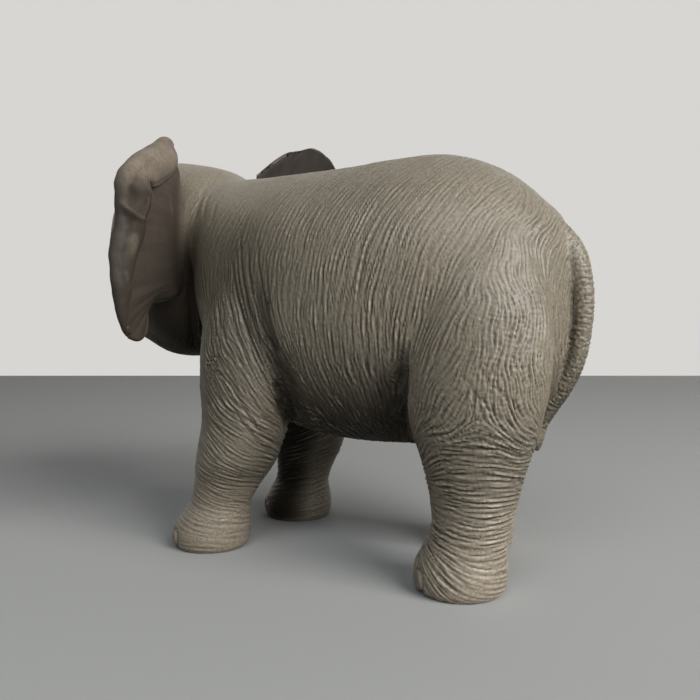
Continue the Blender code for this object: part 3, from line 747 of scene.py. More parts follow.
class SkinSettings(bpy.types.PropertyGroup):
    """Sizes and colours of the skin."""

    grain: FloatProperty(
        name="Mesh size", description="Spacing of the skin's mesh", default=0.00036, unit="LENGTH"
    )
    wrinkle_depth: FloatProperty(
        name="Wrinkle depth", description="Height of a full wrinkle", default=0.00024, unit="LENGTH"
    )
    wrinkle_width: FloatProperty(
        name="Wrinkle width", description="Distance between wrinkles", default=0.0012, unit="LENGTH"
    )
    wrinkle_length: FloatProperty(
        name="Wrinkle length", description="How far a wrinkle runs", default=0.0110, unit="LENGTH"
    )
    blend: IntProperty(
        name="Blend", description="Rounds of smoothing where pieces meet", default=50
    )
    neck_blend: IntProperty(
        name="Neck blend", description="Rounds of smoothing where the head meets the back", default=350
    )
    colour: FloatVectorProperty(
        name="Skin",
        description="Paint of the skin",
        default=(0.225, 0.192, 0.142),
        size=3,
        subtype="COLOR",
    )
    # dark paint of the grooves, also laid as painted shade below the body, in the wide recesses and on
    # the cheeks and shoulders
    wash_and_shade: FloatVectorProperty(
        name="Wash",
        description="Dark paint in the grooves",
        default=(0.030, 0.024, 0.018),
        size=3,
        subtype="COLOR",
    )
    # pale paint of the feet, also laid on the hips as a painted sheen
    pale: FloatVectorProperty(
        name="Feet",
        description="Pale paint of the feet",
        default=(0.34, 0.285, 0.215),
        size=3,
        subtype="COLOR",
    )


class EarSettings(bpy.types.PropertyGroup):
    """Sizes and colours of the ears."""

    thickness: FloatProperty(
        name="Thickness", description="Thickness of an ear's sheet", default=0.0017, unit="LENGTH"
    )
    edge: FloatProperty(
        name="Edge", description="Thickness at the free edge", default=0.0009, unit="LENGTH"
    )
    front: FloatVectorProperty(
        name="Hollow side",
        description="Paint of the hollow side",
        default=(0.050, 0.041, 0.032),
        size=3,
        subtype="COLOR",
    )
    back: FloatVectorProperty(
        name="Back",
        description="Paint of the back",
        default=(0.062, 0.048, 0.037),
        size=3,
        subtype="COLOR",
    )
    flap: FloatVectorProperty(
        name="Top flap",
        description="Paint of the folded top",
        default=(0.205, 0.166, 0.126),
        size=3,
        subtype="COLOR",
    )


class EyeSettings(bpy.types.PropertyGroup):
    """Shape and colours of the eyes."""

    bulge: FloatProperty(
        name="Bulge", description="How far the clear middle stands out", default=0.0003, unit="LENGTH"
    )
    iris: FloatVectorProperty(
        name="Iris",
        description="Paint of the iris",
        default=(0.050, 0.026, 0.014),
        size=3,
        subtype="COLOR",
    )
    pupil: FloatVectorProperty(
        name="Pupil",
        description="Paint of the pupil",
        default=(0.004, 0.003, 0.003),
        size=3,
        subtype="COLOR",
    )


class StageSettings(bpy.types.PropertyGroup):
    """Light and backdrop."""

    key_power: FloatProperty(
        name="Key", description="Power of the main lamp", default=19.0, unit="POWER"
    )
    top_power: FloatProperty(
        name="Top", description="Power of the weak lamp above", default=1.35, unit="POWER"
    )
    sky: FloatProperty(name="Sky", description="Strength of the light from all sides", default=0.02)
    floor: FloatVectorProperty(
        name="Floor",
        description="Colour of the floor",
        default=(0.38, 0.38, 0.37),
        size=3,
        subtype="COLOR",
    )
    wall: FloatVectorProperty(
        name="Wall",
        description="Colour of the wall",
        default=(0.68, 0.67, 0.65),
        size=3,
        subtype="COLOR",
    )


def blended(a, b, c, d, t):
    """A smooth step from b to c, which also heeds the values before and after."""
    return b + 0.5 * t * (c - a + t * (2 * a - 5 * b + 4 * c - d + t * (3 * (b - c) + d - a)))


def resampled(rows, count):
    """The table's rows read at an even pace along a smooth curve through them."""
    rows = np.asarray(rows, float)
    place = np.linspace(0, len(rows) - 1, count)
    i = np.minimum(place.astype(int), len(rows) - 2)
    t = (place - i)[:, None]
    before = rows[np.maximum(i - 1, 0)]
    after = rows[np.minimum(i + 2, len(rows) - 1)]
    return blended(before, rows[i], rows[i + 1], after, t)


def rounded(count, squareness):
    """Unit points of a superellipse."""
    angle = np.linspace(0, 2 * math.pi, count, endpoint=False)
    power = 2 / squareness
    c, s = np.cos(angle), np.sin(angle)
    return np.sign(c) * np.abs(c) ** power, np.sign(s) * np.abs(s) ** power


def loft(rings):
    """Points and triangles of a closed loft through the rings."""
    rings = np.asarray(rings, float)
    count, around, _ = rings.shape
    index = np.arange(count * around).reshape(count, around)
    ahead = np.roll(index, -1, axis=1)
    a, b, c, d = index[:-1], ahead[:-1], ahead[1:], index[1:]
    tris = [np.stack((a, b, c), -1).reshape(-1, 3), np.stack((a, c, d), -1).reshape(-1, 3)]
    first, last = count * around, count * around + 1
    tris.append(np.stack((ahead[0], index[0], np.full(around, first)), -1))
    tris.append(np.stack((index[-1], ahead[-1], np.full(around, last)), -1))
    points = np.concatenate((rings.reshape(-1, 3), rings[:1].mean(1), rings[-1:].mean(1)))
    return points, np.concatenate(tris)


def outward(points, faces):
    """The faces, turned if they face inward."""
    corners = [points[faces[:, k]] for k in range(faces.shape[1])]
    volume = 0.0
    for b, c in zip(corners[1:], corners[2:]):
        volume += np.einsum("ij,ij->i", corners[0], np.cross(b, c)).sum()
    return faces if volume > 0 else faces[:, ::-1]


def new_mesh(name, points, faces):
    """A mesh of the points and of arrays of faces, each with one number of corners."""
    mesh = bpy.data.meshes.new(name)
    corners = np.concatenate([f.ravel() for f in faces]).astype(np.int32)
    sizes = np.concatenate([np.full(len(f), f.shape[1]) for f in faces])
    starts = np.concatenate(([0], np.cumsum(sizes)[:-1])).astype(np.int32)
    mesh.vertices.add(len(points))
    mesh.vertices.foreach_set("co", np.asarray(points, np.float32).ravel())
    mesh.loops.add(len(corners))
    mesh.loops.foreach_set("vertex_index", corners)
    mesh.polygons.add(len(sizes))
    mesh.polygons.foreach_set("loop_start", starts)
    mesh.update(calc_edges=True)
    return mesh


def new_object(name, mesh):
    """An object of the mesh in the scene."""
    obj = bpy.data.objects.new(name, mesh)
    bpy.context.scene.collection.objects.link(obj)
    return obj


def mesh_arrays(mesh):
    """The mesh's points and its faces, triangles and four-sided ones apart."""
    points = np.empty(len(mesh.vertices) * 3, np.float32)
    mesh.vertices.foreach_get("co", points)
    corners = np.empty(len(mesh.loops), np.int32)
    mesh.loops.foreach_get("vertex_index", corners)
    starts = np.empty(len(mesh.polygons), np.int32)
    mesh.polygons.foreach_get("loop_start", starts)
    sizes = np.diff(np.append(starts, len(corners)))
    faces = []
    for size in (3, 4):
        chosen = starts[sizes == size]
        faces.append(corners[chosen[:, None] + np.arange(size)])
    return points.reshape(-1, 3).astype(float), faces


def keep_numbers(mesh, label, values):
    """Keeps a number at each of the mesh's points, for the material of that piece."""
    layer = mesh.attributes.new(label, "FLOAT", "POINT")
    layer.data.foreach_set("value", values.astype(np.float32))


def body_rings(rows, back, length, height, half_width, segments, squareness):
    """Rings along -Y from the back point, each with its own width, top and bottom."""
    across, up = rounded(segments, squareness)
    along, width, top, bottom = rows.T
    rings = np.empty((len(rows), segments, 3))
    rings[..., 0] = back[0] + width[:, None] * across * half_width
    rings[..., 1] = back[1] - along[:, None] * length
    middle = back[2] + (top + bottom) / 2 * height
    rings[..., 2] = middle[:, None] + (top - bottom)[:, None] / 2 * height * up
    return rings


def tube_rings(points, radii, segments):
    """Rings square to a path."""
    rings = []
    across = None
    angle = np.linspace(0, 2 * math.pi, segments, endpoint=False)[:, None]
    for k, (point, radius) in enumerate(zip(points, radii)):
        ahead = points[min(k + 1, len(points) - 1)] - points[max(k - 1, 0)]
        ahead = ahead / np.linalg.norm(ahead)
        if across is None:
            across = np.array(Vector(ahead).orthogonal())
        across = across - across.dot(ahead) * ahead
        across = across / np.linalg.norm(across)
        up = np.cross(across, ahead)
        rings.append(point + radius * (across * np.cos(angle) + up * np.sin(angle)))
    return np.array(rings)


def trunk_path(count):
    """Middle line and radius of the trunk."""
    sway, reach, drop, swell = resampled(TRUNK_SHARES, count).T
    base = np.array((MIDDLE_X, FACE_Y + TRUNK_SEAT_DEPTH, NECK_HEIGHT - TRUNK_BELOW_NECK))
    points = base - np.stack((sway * TRUNK_SWAY, reach * TRUNK_REACH, drop * TRUNK_DROP), -1)
    radii = TRUNK_TIP_RADIUS + np.maximum(swell, 0) * (TRUNK_BASE_RADIUS - TRUNK_TIP_RADIUS)
    return points, radii


def tail_path(count):
    """Middle line and radius of the tail."""
    out, down, swell = resampled(TAIL_SHARES, count).T
    top = TAIL_TOP_SHARE * TORSO_HEIGHT
    points = np.stack(
        (
            np.full(count, MIDDLE_X),
            RUMP_Y + out * TAIL_SWING - TAIL_DEPTH,
            top - down * TAIL_LENGTH,
        ),
        -1,
    )
    radii = TAIL_TIP_RADIUS + np.maximum(swell, 0) * (TAIL_ROOT_RADIUS - TAIL_TIP_RADIUS)
    return points, radii


def leg_rows(name, count):
    """Height, middle and radii of the named leg, from the sole up."""
    side, inset, reach, front = LEGS[name]
    shares, radius, spread = (
        (FRONT_LEG_SHARES, FRONT_LEG_RADIUS, FRONT_LEG_SPREAD)
        if front
        else (HIND_LEG_SHARES, HIND_LEG_RADIUS, HIND_LEG_SPREAD)
    )
    foot_y = RUMP_Y - TORSO_LENGTH + inset if front else RUMP_Y - inset
    up, apart, back, across, fore = resampled(shares, count).T
    x = MIDDLE_X + side * spread * apart
    y = foot_y + back * reach
    return np.stack((up * LEG_TOP, x, y, across * radius, fore * radius), -1)


def body_lofts():
    """The points and triangles of every loft of the skin."""
    back = (MIDDLE_X, RUMP_Y, 0)
    count, around = TORSO_MESH
    sizes = (TORSO_LENGTH, TORSO_HEIGHT, TORSO_HALF_WIDTH, around, TORSO_SQUARENESS)
    lofts = [loft(body_rings(resampled(TORSO_SHARES, count), back, *sizes))]
    back = (MIDDLE_X, HEAD_BACK_Y, NECK_HEIGHT)
    count, around = HEAD_MESH
    sizes = (HEAD_LENGTH, HEAD_DEPTH, HEAD_HALF_WIDTH, around, HEAD_SQUARENESS)
    lofts.append(loft(body_rings(resampled(HEAD_SHARES, count), back, *sizes)))
    count, around = JAW_MESH
    along, width, height = resampled(JAW_SHARES, count).T
    across, up = rounded(around, HEAD_SQUARENESS)
    jaw = np.empty((count, around, 3))
    jaw[..., 0] = MIDDLE_X + width[:, None] * across * JAW_HALF_WIDTH
    jaw[..., 1] = (FACE_Y + JAW_BEHIND_FACE - along * JAW_LENGTH)[:, None]
    jaw[..., 2] = (NECK_HEIGHT - JAW_BELOW_NECK + along * JAW_RISE)[:, None]
    jaw[..., 2] += height[:, None] * up * JAW_HALF_HEIGHT
    lofts.append(loft(jaw))
    count, around = TRUNK_MESH
    lofts.append(loft(tube_rings(*trunk_path(count), around)))
    count, around = TAIL_MESH
    lofts.append(loft(tube_rings(*tail_path(count), around)))
    count, around = LEG_MESH
    angle = np.linspace(0, 2 * math.pi, around, endpoint=False)
    for name in LEGS:
        rows = leg_rows(name, count)
        rows = np.concatenate((rows[:1] - (SOLE_SINK, 0, 0, 0, 0), rows))
        z, x, y, across, fore = (rows[:, k, None] for k in range(5))
        level = np.broadcast_to(z, (len(rows), around))
        rings = np.stack((x + across * np.cos(angle), y + fore * np.sin(angle), level), -1)
        lofts.append(loft(rings))
    return lofts


def fused(lofts, size):
    """One closed surface round all the lofts, as points and four-sided faces."""
    points, tris, start = [], [], 0
    for p, t in lofts:
        points.append(p)
        tris.append(outward(p, t) + start)
        start += len(p)
    mesh = new_mesh("skin draft", np.concatenate(points), [np.concatenate(tris)])
    obj = new_object("skin draft", mesh)
    step = obj.modifiers.new("fuse", "REMESH")
    step.mode = "VOXEL"
    step.voxel_size = size
    step.adaptivity = 0
    bpy.context.view_layer.update()
    seen = obj.evaluated_get(bpy.context.evaluated_depsgraph_get())
    found = mesh_arrays(seen.to_mesh())
    seen.to_mesh_clear()
    bpy.data.objects.remove(obj)
    bpy.data.meshes.remove(mesh)
    points, (_, quads) = found
    return points, quads


class Skin:
    """The skin's points with what is known at each of them."""

    def __init__(self, points, quads):
        self.points = points
        self.quads = quads
        pairs = np.concatenate([quads[:, [k, (k + 1) % 4]] for k in range(4)])
        pairs.sort(axis=1)
        key = np.unique(pairs[:, 0].astype(np.int64) * len(points) + pairs[:, 1])
        self.a = (key // len(points)).astype(np.int64)
        self.b = (key % len(points)).astype(np.int64)
        count = len(points)
        self.valence = np.bincount(self.a, minlength=count) + np.bincount(self.b, minlength=count)

    def around(self, values):
        """The mean of each point's neighbours."""
        count = len(self.points)
        if values.ndim == 1:
            total = np.bincount(self.a, values[self.b], count)
            total += np.bincount(self.b, values[self.a], count)
            return total / self.valence
        return np.stack([self.around(values[:, k]) for k in range(values.shape[1])], -1)

    def among(self, *names):
        """Whether each point belongs to one of the named pieces."""
        return np.isin(self.piece, [PIECES.index(name) for name in names])

    def mark(self, label, chosen, values):
        """Raises the number kept at the chosen points to at least the values."""
        kept = getattr(self, label)
        kept[chosen] = np.maximum(kept[chosen], values)

    def part(self, keep):
        """The chosen points and those beside them, and both ends of the edges among them."""
        edge = keep[self.a] | keep[self.b]
        used, flat = np.unique(np.concatenate((self.a[edge], self.b[edge])), return_inverse=True)
        return used, *np.split(flat, 2)

    def combed(self, way, keep, rounds):
        """The unsigned directions, drawn toward their neighbours where they are chosen."""
        used, a, b = self.part(keep)
        here, free = way[used], keep[used, None]
        for _ in range(rounds):
            sign = np.sign((here[a] * here[b]).sum(1))
            total = np.empty_like(here)
            for axis in range(3):
                there = np.bincount(a, sign * here[b, axis], len(here))
                total[:, axis] = there + np.bincount(b, sign * here[a, axis], len(here))
            here = np.where(free, unit(here + 0.5 * total), here)
        way = way.copy()
        way[used] = here
        return way

    def smooth(self, rounds, where=None):
        """Moves each point toward its neighbours, or only the points where there is a weight."""
        where = np.ones(len(self.points)) if where is None else where
        keep = where > LEAST_WEIGHT
        used, a, b = self.part(keep)
        points = self.points[used]
        count = len(used)
        valence = np.bincount(np.concatenate((a, b)), minlength=count)[:, None]
        step = (where[used] * keep[used] / 2)[:, None]
        mean = np.empty_like(points)
        for _ in range(rounds):
            for axis in range(3):
                value = points[:, axis]
                mean[:, axis] = np.bincount(a, value[b], count) + np.bincount(b, value[a], count)
            points = points + (mean / valence - points) * step
        self.points[used] = points

    def even(self, values, rounds):
        """The values, spread over their neighbours."""
        for _ in range(rounds):
            values = 0.5 * values + 0.5 * self.around(values)
        return values

    def normals(self):
        """The unit normal at each point."""
        corner = [self.points[self.quads[:, k]] for k in range(4)]
        face = np.cross(corner[2] - corner[0], corner[3] - corner[1])
        total = np.empty_like(self.points)
        for axis in range(3):
            weight = np.repeat(face[:, axis], 4)
            total[:, axis] = np.bincount(self.quads.ravel(), weight, len(self.points))
        return unit(total)


def unit(vectors):
    """The vectors at length one."""
    return vectors / np.maximum(np.linalg.norm(vectors, axis=-1, keepdims=True), TINY)


class Noise:
    """Smooth noise in space, from a seed, about as wide as one unit."""

    def __init__(self, seed):
        rng = np.random.default_rng(seed)
        self.table = rng.permutation(256).astype(np.int32)
        self.slopes = unit(rng.normal(size=(256, 3))).astype(np.float32)

    def __call__(self, places):
        """The noise at each of the places."""
        places = places.astype(np.float32)
        cell = np.floor(places)
        part = places - cell
        cell = cell.astype(np.int32)
        ease = part * part * part * (part * (part * 6 - 15) + 10)
        total = np.zeros(len(places), np.float32)
        for dx in (0, 1):
            wx = ease[:, 0] if dx else 1 - ease[:, 0]
            row = self.table[(cell[:, 0] + dx) & 255]
            for dy in (0, 1):
                wy = wx * (ease[:, 1] if dy else 1 - ease[:, 1])
                line = self.table[(row + cell[:, 1] + dy) & 255]
                for dz in (0, 1):
                    wz = wy * (ease[:, 2] if dz else 1 - ease[:, 2])
                    slope = self.slopes[self.table[(line + cell[:, 2] + dz) & 255]]
                    away = part - np.array((dx, dy, dz), np.float32)
                    total += wz * (away * slope).sum(1)
        return total.astype(float)


def camera_axes():
    """The camera's ways ahead, right and up."""
    ahead = np.array(CAMERA_AIM)
    right = np.array(CAMERA_AIM.cross(Vector((0, 0, 1))).normalized())
    return ahead, right, np.cross(right, ahead)


def camera_ways(pixels):
    """The ways from the camera through pixels of its picture."""
    ahead, right, up = camera_axes()
    scale = CAMERA_SENSOR / CAMERA_LENS / PICTURE
    x, y = (np.asarray(pixels, float) - PICTURE / 2).T * scale
    return ahead + np.outer(x, right) - np.outer(y, up)


def seen_at(points):
    """Where the camera's picture shows the points, in its pixels."""
    ahead, right, up = camera_axes()
    away = points - np.array(CAMERA_PLACE)
    scale = PICTURE * CAMERA_LENS / CAMERA_SENSOR / (away @ ahead)
    return np.stack((PICTURE / 2 + away @ right * scale, PICTURE / 2 - away @ up * scale), -1)


def landed(surface, pixels):
    """Points of the surface under a line through the picture's pixels."""
    ways = camera_ways(resampled(pixels, LINE_STEPS * len(pixels)))
    hits = [surface.ray_cast(CAMERA_PLACE, Vector(way).normalized())[0] for way in ways]
    return np.array([hit for hit in hits if hit is not None])


def landed_beside(surface, places):
    """Points of the surface beside the head, by their place in the view from its left."""
    rows = resampled(places, LINE_STEPS * len(places))
    start = MIDDLE_X + 2 * HEAD_HALF_WIDTH
    hits = [surface.ray_cast(Vector((start, y, z)), Vector((-1, 0, 0)))[0] for y, z in rows]
    return np.array([hit for hit in hits if hit is not None])


def line_distance(points, line):
    """The distance from each point to a line of points, and how far along the line, as a share."""
    best = np.full(len(points), np.inf)
    along = np.zeros(len(points))
    for k, (a, b) in enumerate(zip(line, line[1:])):
        span = b - a
        length = max(span @ span, TINY)
        t = np.clip((points - a) @ span / length, 0, 1)
        gap = points - a - t[:, None] * span
        gap = np.einsum("ij,ij->i", gap, gap)
        closer = gap < best
        best[closer] = gap[closer]
        along[closer] = (k + t[closer]) / (len(line) - 1)
    return np.sqrt(best), along


def smoothstep(low, high, values):
    """Nought below low, one above high, and a soft step between."""
    t = np.clip((values - low) / (high - low), 0, 1)
    return t * t * (3 - 2 * t)


def bell(values):
    """One at nought, falling softly to both sides."""
    return np.exp(-(values**2))


def ridges(span, rows):
    """Soft ridges: each row holds a ridge's height, its place along the span and its width."""
    return sum(height * bell((span - place) / width) for height, place, width in rows)


def faded(along, end, power):
    """Nearly nought at both ends of a line and one in its middle."""
    return np.sin(np.clip(along, end, 1 - end) * math.pi) ** power


def mirrored(points):
    """The points as they would be on the calf's left side."""
    out = points.copy()
    out[:, 0] = MIDDLE_X + np.abs(points[:, 0] - MIDDLE_X)
    return out


def flipped(points, shift):
    """The points on the calf's other side, moved along it by the shift."""
    out = points.copy()
    out[:, 0] = 2 * MIDDLE_X - points[:, 0]
    out[:, 1] += shift
    return out


def piece_distances(points):
    """How far each point lies outside each piece's own loft, one column a piece."""
    columns = []
    x, y, z = points.T

    def body(shares, back_y, base_z, length, height, half_width, power):
        """How far the points lie outside the torso or the head."""
        rows = resampled(shares, GAUGE_ROWS)
        along = (back_y - y) / length
        width, top, bottom = (np.interp(along, rows[:, 0], rows[:, k]) for k in (1, 2, 3))
        middle = base_z + (top + bottom) / 2 * height
        half = (top - bottom) / 2 * height
        wide = width * half_width
        span = np.abs((x - MIDDLE_X) / wide) ** power + np.abs((z - middle) / half) ** power
        beyond = np.maximum(np.maximum(-along, along - 1), 0) * length
        return (span ** (1 / power) - 1) * np.minimum(wide, half) + 2 * beyond

    sizes = (TORSO_LENGTH, TORSO_HEIGHT, TORSO_HALF_WIDTH, TORSO_SQUARENESS)
    columns.append(body(TORSO_SHARES, RUMP_Y, 0, *sizes))
    sizes = (HEAD_LENGTH, HEAD_DEPTH, HEAD_HALF_WIDTH, HEAD_SQUARENESS)
    columns.append(body(HEAD_SHARES, HEAD_BACK_Y, NECK_HEIGHT, *sizes))
    for line, radii in (trunk_path(PATH_POINTS), tail_path(PATH_POINTS)):
        gap = np.full(len(points), np.inf)
        for place, radius in zip(line, radii):
            gap = np.minimum(gap, np.linalg.norm(points - place, axis=1) - radius)
        columns.append(gap)
    for name in LEGS:
        rows = leg_rows(name, GAUGE_ROWS)
        cx, cy, across, fore = (np.interp(z, rows[:, 0], rows[:, k]) for k in (1, 2, 3, 4))
        span = np.sqrt(((x - cx) / across) ** 2 + ((y - cy) / fore) ** 2)
        beyond = np.maximum(z - rows[-1, 0], 0)
        columns.append((span - 1) * np.minimum(across, fore) + 2 * beyond)
    return np.stack(columns, -1)


def read_wrinkles(skin):
    """The slant, depth and cross hatching that the picture's marks give at each point."""
    marks = np.array(WRINKLES, float)
    places = mirrored(skin.points)
    for legs, shift in STAGGER.items():
        own = skin.among(f"{legs}_right_leg").astype(float)
        places[:, 1] -= shift * skin.even(own, STAGGER_ROUNDS)
    seen = seen_at(places)
    double = np.radians(marks[:, 2] * 2)
    wanted = np.stack((np.sin(double), np.cos(double), marks[:, 3], marks[:, 4]), -1)
    found = np.empty((len(seen), 4))
    for start in range(0, len(seen), POINTS_AT_ONCE):
        part = slice(start, start + POINTS_AT_ONCE)
        gap = ((seen[part, None] - marks[None, :, :2]) ** 2).sum(-1)
        weight = np.exp(-(gap - gap.min(1, keepdims=True)) / (2 * WRINKLE_REACH**2))
        found[part] = weight @ wanted / weight.sum(1, keepdims=True)
    return np.arctan2(found[:, 0], found[:, 1]) / 2, found[:, 2], found[:, 3]


def wrinkle_guides(skin, normals):
    """The way the wrinkles run at each point, their depth and their cross hatching."""
    slant, depth, cross = read_wrinkles(skin)
    facing = normals.copy()
    side = np.where(skin.points[:, 0] < MIDDLE_X, -1.0, 1.0)
    facing[:, 0] *= side
    up = unit(np.array((0, 0, 1.0)) - facing * facing[:, 2:3])
    along = np.cross(up, facing)
    way = up * np.cos(slant)[:, None] + along * np.sin(slant)[:, None]
    way[:, 0] *= side
    for name, path in (("trunk", trunk_path), ("tail", tail_path)):
        chosen = np.flatnonzero(skin.among(name) & (skin.points[:, 2] < RINGS_BELOW[name]))
        line = path(PATH_POINTS)[0]
        near = np.argmin(np.linalg.norm(skin.points[chosen, None] - line[None], axis=2), axis=1)
        axis = np.gradient(line, axis=0)[near]
        way[chosen] = unit(np.cross(axis, normals[chosen]))
        depth[chosen] = RING_DEPTH
        cross[chosen] = 0.0
    for name in SLIM_PIECES:
        own = skin.apart[:, PIECES.index(name)]
        others = np.delete(skin.apart, PIECES.index(name), axis=1).min(1)
        root = (np.abs(own - others) < COMB_REACH) & (skin.points[:, 2] > COMB_LOW)
        way = skin.combed(way, root, COMB_ROUNDS)
        depth = depth * (1 - ROOT_SOFTNESS * bell((own - others) / ROOT_REACH) * root)
    way -= normals * (way * normals).sum(1)[:, None]
    depth = depth * (1 - SOLE_SOFTNESS * smoothstep(*SOLE_FACING, -normals[:, 2]))
    return unit(way), depth, cross


def bend(skin, way):
    """How the way turns along itself, which keeps long strokes on the surface."""
    total = np.zeros_like(way)
    weight = np.zeros(len(way))
    edge = skin.points[skin.b] - skin.points[skin.a]
    length = np.maximum((edge * edge).sum(1), TINY)
    for here, there, sign in ((skin.a, skin.b, 1), (skin.b, skin.a, -1)):
        step = (edge * way[here]).sum(1) * sign
        same = np.sign((way[here] * way[there]).sum(1))
        change = way[there] * same[:, None] - way[here]
        share = step * step / length
        for axis in range(3):
            total[:, axis] += np.bincount(here, change[:, axis] * step / length * share, len(way))
        weight += np.bincount(here, share * share, len(way))
    total /= np.maximum(weight, LEAST_SHARE)[:, None]
    size = np.linalg.norm(total, axis=1, keepdims=True)
    total *= np.minimum(1, TIGHTEST_BEND / np.maximum(size, LEAST_BEND))
    return skin.even(total, BEND_ROUNDS)


def streaks(skin, way, turn, noise, width, length):
    """Noise drawn out along the way: long fine wrinkles, about one in height."""
    reach = length / 2
    count = max(int(length / (STREAK_STEP * width)) | 1, 3)
    total = np.zeros(len(way))
    for s in np.linspace(-reach, reach, count):
        place = skin.points + way * s + turn * (s * s / 2)
        total += noise(place / width) * math.cos(s / reach * math.pi / 2 * STREAK_FADE)
    total -= skin.even(total, STREAK_ROUNDS)
    return total / total.std()


def press(skin, line, depth, width, rim=CREASE_RIM):
    """Presses a soft groove along a line, fading toward its ends; a rim stands up beside it."""
    low, high = line.min(0) - CREASE_REACH * width, line.max(0) + CREASE_REACH * width
    chosen = np.flatnonzero(((skin.points > low) & (skin.points < high)).all(1))
    here = skin.points[chosen]
    waver = np.stack([Noise(seed)(here / WAVER_LENGTH) for seed in WAVER_SEEDS], -1)
    gap, along = line_distance(here + waver * min(width, WAVER_LIMIT) * WAVER_SHARE, line)
    gap = gap / width
    if width < BROAD_CREASE:
        fade = faded(along, *CREASE_FADE)
    else:
        fade = smoothstep(*BROAD_FADE, along)
    cut = bell(gap) * fade
    skin.move[chosen] -= depth * (cut - rim * fade * bell(gap - RIM_PLACE))
    # the groove's dark paint: a wash in the narrow creases, painted shade in the wide recesses
    strength = min(depth / DARK_CREASE, 1) * (1 if width < MM else WIDE_CREASE_DARK)
    skin.mark("groove", chosen, cut * strength)


def press_creases(skin, surface):
    """Presses the creases that the picture shows, on both flanks."""
    for depth, width, legs, pixels in CREASES:
        line = landed(surface, pixels)
        if len(line) < 2:
            raise RuntimeError(f"a crease from {pixels[0]} misses the skin")
        rim = CREASE_RIM if width < 1 else 0.0
        for place in (line, flipped(line, STAGGER.get(legs, 0.0))):
            press(skin, place, depth * MM, width * MM, rim)


def shape_face(skin, surface):
    """Eyelids, folds round the eyes and the line of the mouth."""
    low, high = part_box("left_eye")
    eye = (low + high) / 2
    for depth, width, points in FACE_LINES:
        line = landed_beside(surface, [(eye.y - ahead, eye.z + up) for ahead, up in points])
        for place in (line, flipped(line, 0.0)):
            press(skin, place, depth * MM, width * MM)
    for name in EYES:
        low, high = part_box(name)
        away = skin.points - np.array((low + high) / 2)
        near = np.flatnonzero(np.linalg.norm(away, axis=1) < LID_REACH)
        ahead = -away[near, 1] * math.cos(LID_TILT) + away[near, 2] * math.sin(LID_TILT)
        up = away[near, 2] * math.cos(LID_TILT) + away[near, 1] * math.sin(LID_TILT)
        # one at the rim of the opening between the lids
        span = np.hypot(ahead / LID_OPENING[0], up / LID_OPENING[1])
        hollow = 1 - smoothstep(*LID_PIT, span)
        skin.move[near] += LID_HEIGHT * ridges(span, LID_RIDGES) - LID_HOLLOW * hollow
        skin.mark("groove", near, 1 - smoothstep(*LID_DARK, span))
        skin.mark("calm", near, 1 - smoothstep(*LID_CALM, span))


def shape_nails(skin):
    """Raises the toenails, each with a groove round it."""
    for name in LEGS:
        rows = leg_rows(name, LEG_MESH[0])
        nails = FRONT_NAILS if LEGS[name][3] else HIND_NAILS
        chosen = np.flatnonzero(skin.among(name) & (skin.points[:, 2] < NAILS_BELOW))
        x, y, z = skin.points[chosen].T
        middle_x, middle_y, radius = (np.interp(FOOT_HEIGHT, rows[:, 0], rows[:, k]) for k in (1, 2, 3))
        turn = np.arctan2(x - middle_x, -(y - middle_y))
        for degrees, half_width, half_height, height in nails:
            across = (turn - math.radians(degrees)) * radius / (half_width * MM)
            up = (z - height * MM) / (half_height * MM)
            # one at the nail's edge
            span = np.abs(across) ** NAIL_SQUARENESS + np.abs(up) ** NAIL_SQUARENESS
            span = span ** (1 / NAIL_SQUARENESS)
            plate = 1 - smoothstep(*NAIL_PLATE, span)
            ring = ridges(span, NAIL_GROOVE)
            skin.move[chosen] += NAIL_RISE * (plate - ring)
            skin.mark("groove", chosen, ring)
            skin.mark("nail", chosen, plate)
            skin.mark("calm", chosen, 1 - smoothstep(*NAIL_CALM, span))


def shape_trunk_tip(skin):
    """Two nostrils and the fingers at the trunk's tip."""
    line = trunk_path(PATH_POINTS)[0]
    ahead = unit(line[-1] - line[-1 - TRUNK_TIP_STEPS])
    side = unit(np.cross(ahead, (0, 0, 1.0)))
    up = np.cross(side, ahead)
    away = skin.points - line[-1]
    near = np.flatnonzero(np.linalg.norm(away, axis=1) < TRUNK_TIP_REACH)
    for sign in (-1, 1):
        gap = np.linalg.norm(away[near] - sign * side * NOSTRIL_APART, axis=1)
        pit = bell(gap / NOSTRIL_RADIUS)
        skin.points[near] -= ahead * (NOSTRIL_DEPTH * pit)[:, None]
        skin.mark("groove", near, pit)
    for sign, size in zip((1, -1), TRUNK_FINGERS):
        gap = np.linalg.norm(away[near] - sign * up * TRUNK_FINGER_UP, axis=1)
        skin.points[near] += ahead * (size * bell(gap / TRUNK_FINGER_RADIUS))[:, None]


